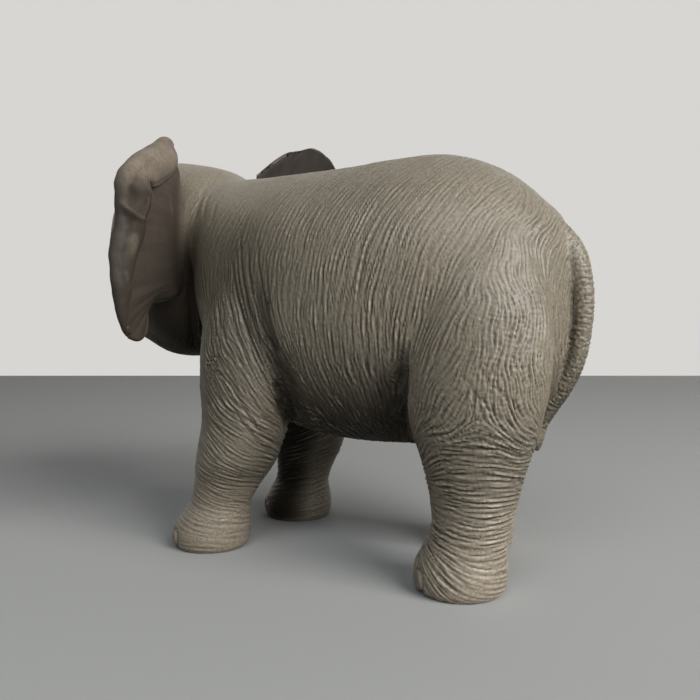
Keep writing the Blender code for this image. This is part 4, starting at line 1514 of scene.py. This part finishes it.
def joined_skin(settings):
    """The skin before its creases, with soft joints between the pieces and a filled neck."""
    points, quads = fused(body_lofts(), settings.grain)
    skin = Skin(points, quads)
    apart = piece_distances(skin.points)
    order = np.sort(apart, axis=1)
    skin.piece = np.argmin(apart, axis=1)
    skin.apart = skin.even(apart, BORDER_ROUNDS)
    high = smoothstep(*JOINT_HEIGHTS, skin.points[:, 2])
    near_joint = bell((order[:, 1] - order[:, 0]) / (JOINT_REACH + JOINT_REACH_HIGH * high))
    below_root = 1 - smoothstep(*TAIL_BELOW_ROOT, skin.points[:, 2] - TAIL_TOP_SHARE * TORSO_HEIGHT)
    near_joint *= 1 - SLIM_CRISPNESS * skin.among(*SLIM_PIECES) * below_root
    skin.smooth(DRAFT_ROUNDS)
    skin.smooth(settings.blend, where=near_joint)
    neck = np.abs(apart[:, 0] - apart[:, 1]) + np.maximum(apart[:, :2].min(1), 0)
    z = skin.points[:, 2]
    fill = bell(neck / NECK_FILL_REACH) * smoothstep(*NECK_FILL_STARTS, z)
    fill *= 1 - NECK_FILL_LOSS * smoothstep(*NECK_FILL_FADES, z)
    skin.points = skin.points + skin.normals() * (NECK_FILL * fill)[:, None]
    neck = bell(neck / NECK_REACH) * smoothstep(*NECK_STARTS, z)
    skin.smooth(settings.neck_blend, where=neck)
    return skin


def wrinkle(skin, normals, settings):
    """Raises the wrinkles, and the scallops along the belly."""
    way, depth, cross = wrinkle_guides(skin, normals)
    depth *= 1 - skin.calm
    least, gain, limit = VEER
    veer = (least + gain * np.clip(cross, 0, limit)) * Noise(SEEDS["veer"])(skin.points / PATCH)
    veer *= 1 - skin.among(*SLIM_PIECES)
    way = unit(way * np.cos(veer)[:, None] + np.cross(normals, way) * np.sin(veer)[:, None])
    turn = bend(skin, way)
    uses = ("long", "short", "hatch", "patch")
    long_noise, short_noise, cross_noise, patch = (Noise(SEEDS[use]) for use in uses)
    width, length = settings.wrinkle_width, settings.wrinkle_length
    fine = streaks(skin, way, turn, long_noise, width * LONG_STREAK[0], length * LONG_STREAK[1])
    short = streaks(skin, way, turn, short_noise, width * SHORT_STREAK[0], length * SHORT_STREAK[1])
    least, by_cross, by_patch = BRIEF
    brief = least + by_cross * cross + by_patch * Noise(SEEDS["brief"])(skin.points / PATCH)
    brief = np.clip(brief, 0, 1)
    fine = fine * np.sqrt(1 - brief) + short * np.sqrt(brief)
    across = unit(np.cross(normals, way))
    turn = bend(skin, across)
    hatch = streaks(skin, across, turn, cross_noise, width * HATCH_WIDTH, HATCH_LENGTH)
    uneven = 1.0
    for size, share in PATCHES:
        uneven = uneven + share * patch(skin.points / size)
    strokes = np.tanh(fine * STROKE_GAIN) + HATCH_SHARE * cross * np.tanh(hatch * HATCH_GAIN)
    skin.height = strokes * depth * np.clip(uneven, *UNEVEN_LIMITS)
    skin.points = skin.points + normals * (skin.height * settings.wrinkle_depth)[:, None]
    phase = skin.points[:, 1] / SCALLOP_WIDTH
    phase = phase + SCALLOP_DRIFT * Noise(SEEDS["scallop"])(skin.points / SCALLOP_PATCH)
    belly = skin.among("torso") * smoothstep(*SCALLOP_FACING, -normals[:, 2])
    belly = belly * np.sin(2 * math.pi * phase)
    skin.points = skin.points + normals * (belly * SCALLOP)[:, None]
    skin.points[:, 2] = np.maximum(skin.points[:, 2], 0)


def mark_painted_shade(skin, normals):
    """Painted shade, where the skin is painted darkest: belly, inner legs, cheeks and shoulders."""
    x, y, z = skin.points.T
    underside = BELLY_SHADE * smoothstep(*BELLY_FACING, -normals[:, 2])
    underside *= smoothstep(*BELLY_STARTS, z)
    inner = smoothstep(*INNER_FACING, -normals[:, 0] * np.sign(x - MIDDLE_X)) * skin.among(*LEGS)
    cheek = np.hypot(y - CHEEK[0], z - CHEEK[1]) / CHEEK_REACH
    cheek = skin.among("head") * smoothstep(*CHEEK_FADES, cheek)
    shoulder = smoothstep(*SHOULDER_BACK, y)
    shoulder *= smoothstep(*SHOULDER_TOP, z) * smoothstep(*SHOULDER_LOW, z)
    shoulder *= SHOULDER_SHADE * ~skin.among("head")
    skin.dirt = skin.even(np.maximum.reduce((underside, inner, cheek, shoulder)), SHADE_ROUNDS)


def build_skin(settings):
    """The whole skin, with its creases and wrinkles, and where each paint, the painted shade and the
    painted sheen go.
    """
    skin = joined_skin(settings)
    normals = skin.normals()
    surface = BVHTree.FromPolygons(skin.points.tolist(), skin.quads.tolist())
    for name in ("move", "groove", "calm", "nail"):
        setattr(skin, name, np.zeros(len(skin.points)))
    press_creases(skin, surface)
    shape_face(skin, surface)
    shape_nails(skin)
    skin.points = skin.points + normals * skin.move[:, None]
    shape_trunk_tip(skin)
    skin.smooth(1)
    normals = skin.normals()
    wrinkle(skin, normals, settings)
    mark_painted_shade(skin, normals)
    front = skin.among("front_left_leg", "front_right_leg")
    foot = skin.among(*LEGS) * (1 - smoothstep(*FOOT_PALE, skin.points[:, 2]))
    # a painted sheen on the hips
    hip_sheen = np.linalg.norm(mirrored(skin.points) - HIP_SHEEN_PLACE, axis=1) / HIP_SHEEN_REACH
    skin.pale = foot * (1 - FRONT_LESS_PALE * front) + HIP_SHEEN_SHARE * bell(hip_sheen)
    return skin


def graph(owner):
    """The nodes and links of a material or a world."""
    owner.use_nodes = True
    return owner.node_tree.nodes, owner.node_tree.links


class Paint:
    """Builds the node graph of one material."""

    def __init__(self, name, roughness, shine):
        self.material = bpy.data.materials.new(name)
        self.nodes, self.links = graph(self.material)
        self.shader = self.nodes["Principled BSDF"]
        self.shader.inputs["Roughness"].default_value = roughness
        self.shader.inputs["Specular IOR Level"].default_value = shine
        self.place = self.nodes.new("ShaderNodeTexCoord")

    def attribute(self, label):
        """A number kept at the mesh's points."""
        node = self.nodes.new("ShaderNodeAttribute")
        node.attribute_name = label
        return node.outputs["Fac"]

    def mixed(self, share, first, second):
        """The second colour over the first, by the share."""
        node = self.nodes.new("ShaderNodeMix")
        node.data_type = "RGBA"
        for label, value in (("Factor", share), ("A", first), ("B", second)):
            socket = node.inputs[label]
            if isinstance(value, tuple):
                socket.default_value = (*value, 1)
            else:
                self.links.new(value, socket)
        return node.outputs["Result"]

    def ramp(self, source, low, high, first, last):
        """A number stretched from one range to another."""
        node = self.nodes.new("ShaderNodeMapRange")
        self.links.new(source, node.inputs["Value"])
        sockets = ("From Min", "From Max", "To Min", "To Max")
        for socket, value in zip(sockets, (low, high, first, last)):
            node.inputs[socket].default_value = value
        return node.outputs["Result"]

    def cloud(self, scale, detail):
        """Noise in the object's own space."""
        node = self.nodes.new("ShaderNodeTexNoise")
        node.inputs["Scale"].default_value = scale
        node.inputs["Detail"].default_value = detail
        self.links.new(self.place.outputs["Object"], node.inputs["Vector"])
        return node.outputs["Fac"]

    def bump(self, source, distance, strength):
        """Fine grain that is too small for the mesh."""
        node = self.nodes.new("ShaderNodeBump")
        node.inputs["Strength"].default_value = strength
        node.inputs["Distance"].default_value = distance
        self.links.new(source, node.inputs["Height"])
        self.links.new(node.outputs["Normal"], self.shader.inputs["Normal"])

    def coated(self, colour, coats, settings):
        """The colour under a table's coats of paint."""
        for follows, low, high, cover, over, light in coats:
            named = isinstance(follows, str)
            source = self.attribute(follows) if named else self.cloud(*follows)
            share = self.ramp(source, low, high, 0.0, cover)
            colour = self.mixed(share, colour, scaled(getattr(settings, over), light))
        return colour

    def finish(self, colour):
        """The material, in its last colour."""
        self.links.new(colour, self.shader.inputs["Base Color"])
        return self.material


def scaled(colour, share):
    """The colour, lighter or darker."""
    return tuple(channel * share for channel in colour)


def skin_material(name, settings):
    """Painted vinyl skin: dark paint in the grooves, painted shade below the body, in wide recesses, on
    cheeks and shoulders, a dry brush on the ridges and a painted sheen on the hips.
    """
    paint = Paint(name, *SKIN_GLOSS)
    # less shine where the painted shade is
    dull = paint.ramp(paint.attribute("dirt"), 0, 1, SKIN_GLOSS[1], PAINTED_SHADE_SHINE)
    paint.links.new(dull, paint.shader.inputs["Specular IOR Level"])
    paint.bump(paint.cloud(*FINE_GRAIN), *SKIN_BUMP)
    return paint.finish(paint.coated(scaled(settings.colour, SKIN_BASE), SKIN_COATS, settings))


def ear_material(settings):
    """Thin painted vinyl: darkest on the hollow side, with a pale folded top, painted shade low at the
    left ear's root and over the right ear's back, and painted highlights along the rims and on raised
    folds.
    """
    paint = Paint("ear skin", *EAR_GLOSS)
    paint.bump(paint.cloud(*FINE_GRAIN), *EAR_BUMP)
    return paint.finish(paint.coated(tuple(settings.front), EAR_COATS, settings))


def eye_material(settings):
    """Glossy dark paint with a darker pupil."""
    paint = Paint("eye gloss", *EYE_GLOSS)
    paint.shader.inputs["Coat Weight"].default_value = EYE_COAT
    return paint.finish(paint.coated(scaled(settings.iris, IRIS_BASE), EYE_COATS, settings))


def rims(quads):
    """The open rims of the faces, each a closed chain of points."""
    edges = np.concatenate([quads[:, [k, (k + 1) % 4]] for k in range(4)]).astype(np.int64)
    size = int(quads.max()) + 1
    there, back = edges[:, 0] * size + edges[:, 1], edges[:, 1] * size + edges[:, 0]
    lone = edges[~np.isin(there, back)]
    ahead = {}
    for a, b in lone.tolist():
        ahead.setdefault(b, []).append(a)
    chains = []
    while ahead:
        start = next(iter(ahead))
        chain = [start]
        while True:
            choices = ahead[chain[-1]]
            step = choices.pop()
            if not choices:
                del ahead[chain[-1]]
            if step == start:
                break
            chain.append(step)
        chains.append(chain)
    return chains


def caps(points, quads):
    """Extra points and faces that close each open rim, sunk a little into the piece."""
    inside = points.mean(0)
    extra, walls, fans = [], [], []
    start = len(points)
    for chain in rims(quads):
        rim = points[chain]
        middle = rim.mean(0)
        sink = unit(inside - middle) * CAP_SINK
        ring = rim * CAP_SIZE + middle * (1 - CAP_SIZE) + sink
        count = len(chain)
        inner = start + np.arange(count)
        outer = np.array(chain)
        walls.append(np.stack((outer, np.roll(outer, -1), np.roll(inner, -1), inner), -1))
        fans.append(np.stack((inner, np.roll(inner, -1), np.full(count, start + count)), -1))
        extra += [ring, (middle + sink)[None]]
        start += count + 1
    if not extra:
        return np.empty((0, 3)), np.empty((0, 4), int), np.empty((0, 3), int)
    return np.concatenate(extra), np.concatenate(walls), np.concatenate(fans)


def cut_pieces(skin, materials):
    """Cuts the skin into the pieces of the figure and closes each of them."""
    normals = skin.normals()
    owner = skin.apart[skin.quads].sum(1).argmin(1)
    for k, name in enumerate(PIECES):
        quads = skin.quads[owner == k]
        used, flat = np.unique(quads.ravel(), return_inverse=True)
        quads = flat.reshape(quads.shape)
        points, ways = skin.points[used], normals[used]
        extra, walls, fans = caps(points, quads)
        mesh = new_mesh(name, np.concatenate((points, extra)), [quads, walls, fans])
        obj = new_object(f"{name}_skin", mesh)
        spare = np.zeros(len(extra))
        for label in ("height", "groove", "pale", "dirt", "nail"):
            keep_numbers(mesh, label, np.concatenate((getattr(skin, label)[used], spare)))
        mesh.shade_smooth()
        away = unit(extra - points.mean(0)) if len(extra) else extra
        mesh.normals_split_custom_set_from_vertices(np.concatenate((ways, away)).tolist())
        leg = name in LEGS
        mesh.materials.append(materials["leg" if leg else "body"])
        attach(obj, "root")
        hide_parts(name)


def ear_axes(side):
    """The ear plane's root, its way outward and its way back."""
    root = np.array((MIDDLE_X + side * EAR_ROOT_X, EAR_ROOT_Y, EAR_BOTTOM))
    out = np.array((side * math.cos(EAR_SWEEP), math.sin(EAR_SWEEP), 0))
    back = np.array((-side * math.sin(EAR_SWEEP), math.cos(EAR_SWEEP), 0))
    return root, out, back


def on_ear_plane(pixels, lift):
    """Where lines through the picture's pixels cross the left ear's plane, moved back by the lift."""
    root, _, back = ear_axes(1)
    way = camera_ways(pixels)
    start = np.array(CAMERA_PLACE)
    reach = ((root - start) @ back + lift) / (way @ back)
    return start + way * reach[:, None]


def ear_outline(side, count):
    """Root, fold, free edge and the free edge's lift for each row of an ear."""
    root, out, back = ear_axes(side)
    up = np.array((0, 0, 1.0))
    rows = resampled(LEFT_EAR if side > 0 else RIGHT_EAR, count)
    base = root + np.outer(NECK_HEIGHT + rows[:, 0] * HEAD_DEPTH - EAR_BOTTOM, up)
    if side > 0:
        lift = np.maximum(rows[:, 5], 0) * MM
        fold = on_ear_plane(rows[:, 1:3], 0.0)
        edge = on_ear_plane(rows[:, 3:5], lift)
        return base, fold, edge, lift
    fold = root + np.outer(rows[:, 1] * EAR_WIDTH, out) + np.outer(rows[:, 2] * EAR_HEIGHT, up)
    aim = root + RIGHT_EAR_AIM[0] * EAR_WIDTH * out + RIGHT_EAR_AIM[1] * EAR_HEIGHT * up
    length = np.maximum(rows[:, 3], 0) * EAR_FLAP
    lift = length * RIGHT_EAR_FLAP[1]
    edge = fold + unit(aim - fold) * length[:, None] * RIGHT_EAR_FLAP[0] + np.outer(lift, back)
    return base, fold, edge, lift


def round_the_notch(base, centre):
    """Where each row of the left ear passes the notch above its lobe, and at what share of the row."""
    notch = on_ear_plane([LEFT_EAR_NOTCH], 0.0)[0]
    root, out, _ = ear_axes(1)
    reach = (centre - base) @ out
    share = np.clip(((notch - root) @ out) / reach, *LEFT_EAR_NOTCH_SHARES)
    via = base + (centre - base) * share[:, None]
    clear = via[:, 2] - notch[2]
    low = np.flatnonzero(clear < LEFT_EAR_NOTCH_REACH)
    first, last = low[0], len(base) - 1
    wanted = LEFT_EAR_NOTCH_REACH * (last - np.arange(first, last + 1)) / (last - first)
    via[first:, 2] = notch[2] + wanted
    return via, share


def ear_sheet(side, rows, columns):
    """A grid of points over the middle of an ear's sheet, from the root to the free edge."""
    root, out, back = ear_axes(side)
    base, fold, edge, lift = ear_outline(side, rows)
    plane_edge = edge - np.outer(lift, back)
    reach = np.linalg.norm(plane_edge - fold, axis=1)
    span = unit(fold - base)
    radius = np.minimum(lift / 2, EAR_ROLL)
    centre = fold - span * radius[:, None]
    sheet = []
    flat, turn, flap = columns
    via, share = (base + centre) / 2, np.full(rows, 0.5)
    if side > 0:
        via, share = round_the_notch(base, centre)
    size = np.linalg.norm(centre - base, axis=1, keepdims=True) / EAR_WIDTH
    down = np.linspace(0, 1, rows)
    along_root, from_root = EAR_FLARE_POWERS
    middle = (EAR_FLARE * np.sin(down * math.pi) ** along_root)[:, None]
    drop = np.outer(smoothstep(*EAR_DROP_ROWS, down), (0, 0, EAR_ROOT_DROP))
    for t in np.linspace(1, 0, EAR_ROOT_COLUMNS, endpoint=False):
        spread = back * middle * (1 + EAR_FLARE_GROWTH * t)
        sheet.append(base - out * EAR_ROOT_SINK * t - drop * t + spread)
    for t in np.linspace(0, 1, flat, endpoint=False):
        near = np.clip(t / share, 0, 1)[:, None]
        far = np.clip((t - share) / (1 - share), 0, 1)[:, None]
        line = base + (via - base) * near + (centre - via) * far
        cup = EAR_CUP * (1 - math.cos(2 * math.pi * t ** EAR_CUP_LEAN[side])) / 2 * size
        away = np.linalg.norm(line - base, axis=1, keepdims=True)
        flare = middle * np.exp(-((away / EAR_FLARE_REACH) ** from_root))
        sheet.append(line + back * (cup + flare))
    for a in np.linspace(0, math.pi, turn, endpoint=False):
        way = span * math.sin(a) + back * (1 - math.cos(a))
        sheet.append(centre + way * radius[:, None])
    far = centre + back * 2 * radius[:, None]
    for t in np.linspace(0, 1, flap):
        rise = math.sin(math.pi * t) * EAR_FLAP_RISE * reach
        sheet.append(far + (edge - far) * t + back * rise[:, None])
    return np.stack(sheet, axis=1)


def softened(grid, rounds):
    """The grid's values, each nearer to the mean of the four beside it."""
    for _ in range(rounds):
        wide = np.pad(grid, ((1, 1), (1, 1), (0, 0)), mode="edge")
        mean = (wide[:-2, 1:-1] + wide[2:, 1:-1] + wide[1:-1, :-2] + wide[1:-1, 2:]) / 4
        grid = grid * 0.5 + mean * 0.5
    return grid


def thickened(sheet, half, sign):
    """A closed skin round the sheet, its back first, with round rims, as points and faces."""
    rows, columns, _ = sheet.shape
    normal = unit(np.cross(np.gradient(sheet, axis=1), np.gradient(sheet, axis=0))) * sign
    normal = unit(softened(normal, NORMAL_ROUNDS))
    behind = sheet + normal * half[..., None]
    before = sheet - normal * half[..., None]
    index = np.arange(rows * columns).reshape(rows, columns)
    rim = np.concatenate((index[0, :-1], index[:-1, -1], index[-1, :0:-1], index[:0:-1, 0]))
    flat_sheet = sheet.reshape(-1, 3)
    outer = flat_sheet[rim] - softened(sheet, RIM_ROUNDS).reshape(-1, 3)[rim]
    outer = flat_sheet[rim] + unit(outer) * half.ravel()[rim, None] * RIM_BULGE
    points = np.concatenate((behind.reshape(-1, 3), before.reshape(-1, 3), outer))
    ring = 2 * rows * columns + np.arange(len(rim))
    grid = np.stack((index[:-1, :-1], index[1:, :-1], index[1:, 1:], index[:-1, 1:]), -1)
    grid = grid.reshape(-1, 4)
    ahead, ring_ahead = np.roll(rim, -1), np.roll(ring, -1)
    far = rows * columns
    faces = [
        grid,
        (grid + far)[:, ::-1],
        np.stack((rim, ahead, ring_ahead, ring), -1),
        np.stack((ring, ring_ahead, ahead + far, rim + far), -1),
    ]
    return points, outward(points, np.concatenate(faces)), rim


def ear_folds(points, quads, height):
    """Raises and presses the folds of the left ear's roll, with a painted highlight on the raised ones
    and painted shade in the pressed ones.
    """
    surface = BVHTree.FromPolygons(points.tolist(), quads.tolist())
    normals = Skin(points, quads).normals()
    facing = smoothstep(*FOLD_FACING, normals @ np.array(-CAMERA_AIM))
    move = np.zeros(len(points))
    for rise, width, pixels in EAR_FOLDS:
        gap, along = line_distance(points, landed(surface, pixels))
        share = bell(gap / (width * MM)) * facing * faded(along, *FOLD_FADE)
        move += rise * MM * share
        # painted highlight on raised folds, painted shade in pressed ones
        height = height + np.sign(rise) * share * min(abs(rise) / EAR_FOLD_DARK, 1)
    return points + normals * move[:, None], height


def build_ear(side, settings, material):
    """One ear, with its folds."""
    left = side > 0
    name = "left_ear" if left else "right_ear"
    sheet = softened(ear_sheet(side, EAR_ROWS, EAR_COLUMNS[side]), SHEET_ROUNDS)
    rows, count, _ = sheet.shape
    grid = (rows, count)
    across = np.broadcast_to(np.linspace(0, 1, count)[None, :], grid)
    down = np.broadcast_to(np.linspace(0, 1, rows)[:, None], grid)
    plain = np.zeros(grid)
    base = sheet[:, EAR_ROOT_COLUMNS, None]
    root_share = bell(np.linalg.norm(sheet - base, axis=2) / EAR_ROOT_REACH)
    root_share[:, :EAR_ROOT_COLUMNS] = 1
    ripple = Noise(SEEDS["ripple"])(sheet.reshape(-1, 3) / EAR_RIPPLE_LENGTH).reshape(grid)
    vein_place = np.stack((down * EAR_VEINS[0], across * EAR_VEINS[1], plain), -1)
    vein = Noise(SEEDS["vein"])(vein_place.reshape(-1, 3)).reshape(grid)
    shore = np.minimum(np.minimum(down, 1 - down) * EAR_SHORE[0], (1 - across) * EAR_SHORE[1])
    shore = smoothstep(0, 1, shore)
    edge = settings.edge + (settings.thickness - settings.edge) * shore
    free = smoothstep(*EAR_FREE, across)
    wave = (ripple * EAR_RIPPLE + vein * EAR_VEIN_HEIGHT) * free
    points, quads, rim = thickened(sheet + ear_axes(side)[2] * wave[..., None], edge / 2, side)
    # painted shade low at the left ear's root, and over the whole back of the right ear
    dark = smoothstep(*EAR_SHADE[0], down) * smoothstep(*EAR_SHADE[1], across) if left else plain + 1
    top = smoothstep(*EAR_PALE[0], down) * smoothstep(*EAR_PALE[1], across) * left
    least, rest = EAR_VEIN_PAINT
    vein = vein * (least + rest * smoothstep(*EAR_VEIN_ROWS, down))

    def laid(back_values, front_values, rim_values):
        """One number for each point of the ear's back, front and rim."""
        return np.concatenate((back_values.ravel(), front_values.ravel(), rim_values.ravel()[rim]))

    # the edges are painted lighter, a painted highlight along the rim, except at the root and where the
    # painted shade is
    free_edge = (1 - shore) * (1 - root_share)
    height = laid(vein, -vein, plain)
    if left:
        points, height = ear_folds(points, quads, height)
    mesh = new_mesh(name, points, [quads])
    obj = new_object(f"{name}_skin", mesh)
    keep_numbers(mesh, "behind", laid(plain + 1, plain, plain + 0.5))
    keep_numbers(mesh, "edge", laid(free_edge, free_edge, (1 - root_share) * (1 - dark * left)))
    keep_numbers(mesh, "pale", laid(plain, top, plain))
    keep_numbers(mesh, "dirt", laid(dark, plain, dark * left))
    keep_numbers(mesh, "root", laid(root_share, root_share, plain))
    keep_numbers(mesh, "height", height)
    mesh.shade_smooth()
    mesh.materials.append(material)
    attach(obj, "root")
    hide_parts(name)


def build_eye(name, settings, material):
    """One glossy bead with a clear middle that stands out."""
    low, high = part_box(name)
    middle = np.array((low + high) / 2)
    radius = (high.z - low.z) / 2
    side = 1 if middle[0] > MIDDLE_X else -1
    facing = unit(np.array((side, *EYE_FACING)))
    level = unit(np.cross((0, 0, 1.0), facing))
    up = np.cross(facing, level)
    around = np.linspace(0, 2 * math.pi, EYE_TURNS, endpoint=False)[:, None]
    circle = level * np.cos(around) + up * np.sin(around)
    rows, pupil = [], []
    for angle in np.linspace(EYE_POLE_ANGLE, math.pi - EYE_POLE_ANGLE, EYE_RINGS):
        bulge = settings.bulge * bell(angle / EYE_BULGE_ANGLE)
        ahead, out = (radius + bulge) * math.cos(angle), radius * math.sin(angle)
        rows.append(middle + facing * ahead + circle * out)
        pupil += [1.0 if angle < PUPIL_ANGLE else 0.0] * EYE_TURNS
    points, tris = loft(rows)
    mesh = new_mesh(name, points, [outward(points - middle, tris)])
    obj = new_object(f"{name}_bead", mesh)
    keep_numbers(mesh, "pupil", np.array(pupil + [1.0, 0.0]))
    mesh.shade_smooth()
    mesh.materials.append(material)
    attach(obj, "root")
    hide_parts(name)


def plane_mesh(name, middle, across, up):
    """A four-sided sheet round its middle, reaching each way."""
    mesh = bpy.data.meshes.new(name)
    corners = [middle + across * i + up * j for i, j in ((-1, -1), (1, -1), (1, 1), (-1, 1))]
    mesh.from_pydata(corners, [], [(0, 1, 2, 3)])
    return mesh


def plain_material(name, colour, reach, plain):
    """A matt material, of which the camera sees the plain colour itself beyond the reach."""
    paint = Paint(name, *STAGE_GLOSS)
    nodes, links = paint.nodes, paint.links
    paint.shader.inputs["Base Color"].default_value = (*colour, 1)
    shine = nodes.new("ShaderNodeEmission")
    shine.inputs["Color"].default_value = (*plain, 1)
    length = nodes.new("ShaderNodeVectorMath")
    length.operation = "LENGTH"
    links.new(paint.place.outputs["Object"], length.inputs[0])
    share = paint.ramp(length.outputs["Value"], *reach, 0.0, 1.0)
    share.node.interpolation_type = "SMOOTHSTEP"
    lit, shown = paint.shader.outputs["BSDF"], shine.outputs["Emission"]
    show_plainly(nodes, links, lit, shown, nodes["Material Output"], share)
    return paint.material


def combined(nodes, links, operation, first, second):
    """A number worked out from two others."""
    node = nodes.new("ShaderNodeMath")
    node.operation = operation
    links.new(first, node.inputs[0])
    links.new(second, node.inputs[1])
    return node.outputs[0]


def show_plainly(nodes, links, lit, plain, output, share=None):
    """The plain shader for what the camera, mirrors and glass show, the lit one for all other rays."""
    path = nodes.new("ShaderNodeLightPath")
    seen = path.outputs["Is Camera Ray"]
    for label in ("Is Glossy Ray", "Is Transmission Ray"):
        seen = combined(nodes, links, "MAXIMUM", seen, path.outputs[label])
    if share is not None:
        seen = combined(nodes, links, "MULTIPLY", seen, share)
    mix = nodes.new("ShaderNodeMixShader")
    links.new(seen, mix.inputs["Fac"])
    links.new(lit, mix.inputs[1])
    links.new(plain, mix.inputs[2])
    links.new(mix.outputs["Shader"], output.inputs["Surface"])


def add_lamp(name, place, size, power, colour):
    """A soft square lamp that looks at the calf."""
    lamp = bpy.data.lights.new(name, "AREA")
    lamp.size = size
    lamp.energy = power
    lamp.color = colour
    obj = bpy.data.objects.new(name, lamp)
    obj.location = place
    obj.rotation_euler = (LAMPS_AIM - place).to_track_quat("-Z", "Y").to_euler()
    bpy.context.scene.collection.objects.link(obj)


def add_camera(scene):
    """The camera, at the photograph's place."""
    camera = bpy.data.cameras.new("camera")
    camera.lens = CAMERA_LENS
    camera.sensor_width = CAMERA_SENSOR
    camera.clip_start = CAMERA_NEAR
    seat = bpy.data.objects.new("camera", camera)
    seat.location = CAMERA_PLACE
    seat.rotation_euler = CAMERA_AIM.to_track_quat("-Z", "Y").to_euler()
    scene.collection.objects.link(seat)
    scene.camera = seat


def add_backdrop(settings):
    """The floor, and the wall behind it."""
    across, along = Vector((FLOOR_REACH, 0, 0)), Vector((0, FLOOR_REACH, 0))
    floor = new_object("floor", plane_mesh("floor", Vector((0, 0, 0)), across, along))
    far_floor = scaled(settings.floor, FLOOR_FAR_LIGHT)
    floor.data.materials.append(plain_material("floor", tuple(settings.floor), FLOOR_FAR, far_floor))
    across = CAMERA_AIM.cross(Vector((0, 0, 1))).normalized()
    level = Vector((CAMERA_AIM.x, CAMERA_AIM.y, 0)).normalized()
    foot = CAMERA_PLACE + level * WALL_AWAY
    foot.z = 0
    up = Vector((0, 0, WALL_HEIGHT))
    wall = new_object("wall", plane_mesh("wall", foot, across * FLOOR_REACH, up))
    wall_colour = tuple(settings.wall)
    wall.data.materials.append(plain_material("wall", wall_colour, WALL_FAR, wall_colour))


def add_world(scene, settings):
    """Weak light from all sides, in the place of which the camera sees the wall's colour."""
    world = bpy.data.worlds.new("studio")
    scene.world = world
    nodes, links = graph(world)
    light = nodes["Background"]
    light.inputs["Color"].default_value = (1.0, 1.0, 1.0, 1)
    light.inputs["Strength"].default_value = settings.sky
    plain = nodes.new("ShaderNodeBackground")
    plain.inputs["Color"].default_value = (*settings.wall, 1)
    show_plainly(nodes, links, light.outputs[0], plain.outputs[0], nodes["World Output"])


class CALF_OT_eyes(bpy.types.Operator):
    """Builds both eyes"""

    bl_idname = "calf.eyes"
    bl_label = "Eyes"

    def execute(self, context):
        settings = context.scene.calf_eyes
        material = eye_material(settings)
        for name in EYES:
            build_eye(name, settings, material)
        return {"FINISHED"}


class CALF_OT_ears(bpy.types.Operator):
    """Builds both ears"""

    bl_idname = "calf.ears"
    bl_label = "Ears"

    def execute(self, context):
        settings = context.scene.calf_ears
        material = ear_material(settings)
        for side in (1, -1):
            build_ear(side, settings, material)
        return {"FINISHED"}


class CALF_OT_skin(bpy.types.Operator):
    """Builds the torso, the head, the trunk, the tail and the legs"""

    bl_idname = "calf.skin"
    bl_label = "Skin"

    def execute(self, context):
        settings = context.scene.calf_skin
        materials = {
            "body": skin_material("body skin", settings),
            "leg": skin_material("leg skin", settings),
        }
        cut_pieces(build_skin(settings), materials)
        return {"FINISHED"}


class CALF_OT_stage(bpy.types.Operator):
    """Builds the floor, the wall, the lamps and the camera"""

    bl_idname = "calf.stage"
    bl_label = "Stage"

    def execute(self, context):
        scene = context.scene
        settings = scene.calf_stage
        add_camera(scene)
        scene.view_settings.view_transform = "Standard"
        add_backdrop(settings)
        add_world(scene, settings)
        add_lamp("key", KEY_PLACE, KEY_SIZE, settings.key_power, KEY_COLOUR)
        add_lamp("top", TOP_PLACE, TOP_SIZE, settings.top_power, TOP_COLOUR)
        return {"FINISHED"}


class CALF_PT_panel(bpy.types.Panel):
    """Lists the calf's operators and settings"""

    bl_label = "Elephant calf"
    bl_idname = "CALF_PT_panel"
    bl_space_type = "VIEW_3D"
    bl_region_type = "UI"
    bl_category = "Calf"

    def draw(self, context):
        layout = self.layout
        for operator, settings in zip(OPERATORS, GROUPS):
            box = layout.box()
            box.operator(operator.bl_idname)
            for name in GROUPS[settings].__annotations__:
                box.prop(getattr(context.scene, settings), name)


OPERATORS = (CALF_OT_skin, CALF_OT_ears, CALF_OT_eyes, CALF_OT_stage)
GROUPS = {
    "calf_skin": SkinSettings,
    "calf_ears": EarSettings,
    "calf_eyes": EyeSettings,
    "calf_stage": StageSettings,
}
CLASSES = (*GROUPS.values(), *OPERATORS, CALF_PT_panel)


def register():
    """Makes the settings, the operators and the panel known."""
    for cls in CLASSES:
        bpy.utils.register_class(cls)
    for name, group in GROUPS.items():
        setattr(bpy.types.Scene, name, PointerProperty(type=group))


def unregister():
    """Takes them away again."""
    for name in GROUPS:
        delattr(bpy.types.Scene, name)
    for cls in reversed(CLASSES):
        bpy.utils.unregister_class(cls)


def main():
    """Builds the calf and its stage."""
    register()
    bpy.ops.calf.skin()
    bpy.ops.calf.ears()
    bpy.ops.calf.eyes()
    bpy.ops.calf.stage()


if __name__ == "__main__":
    main()
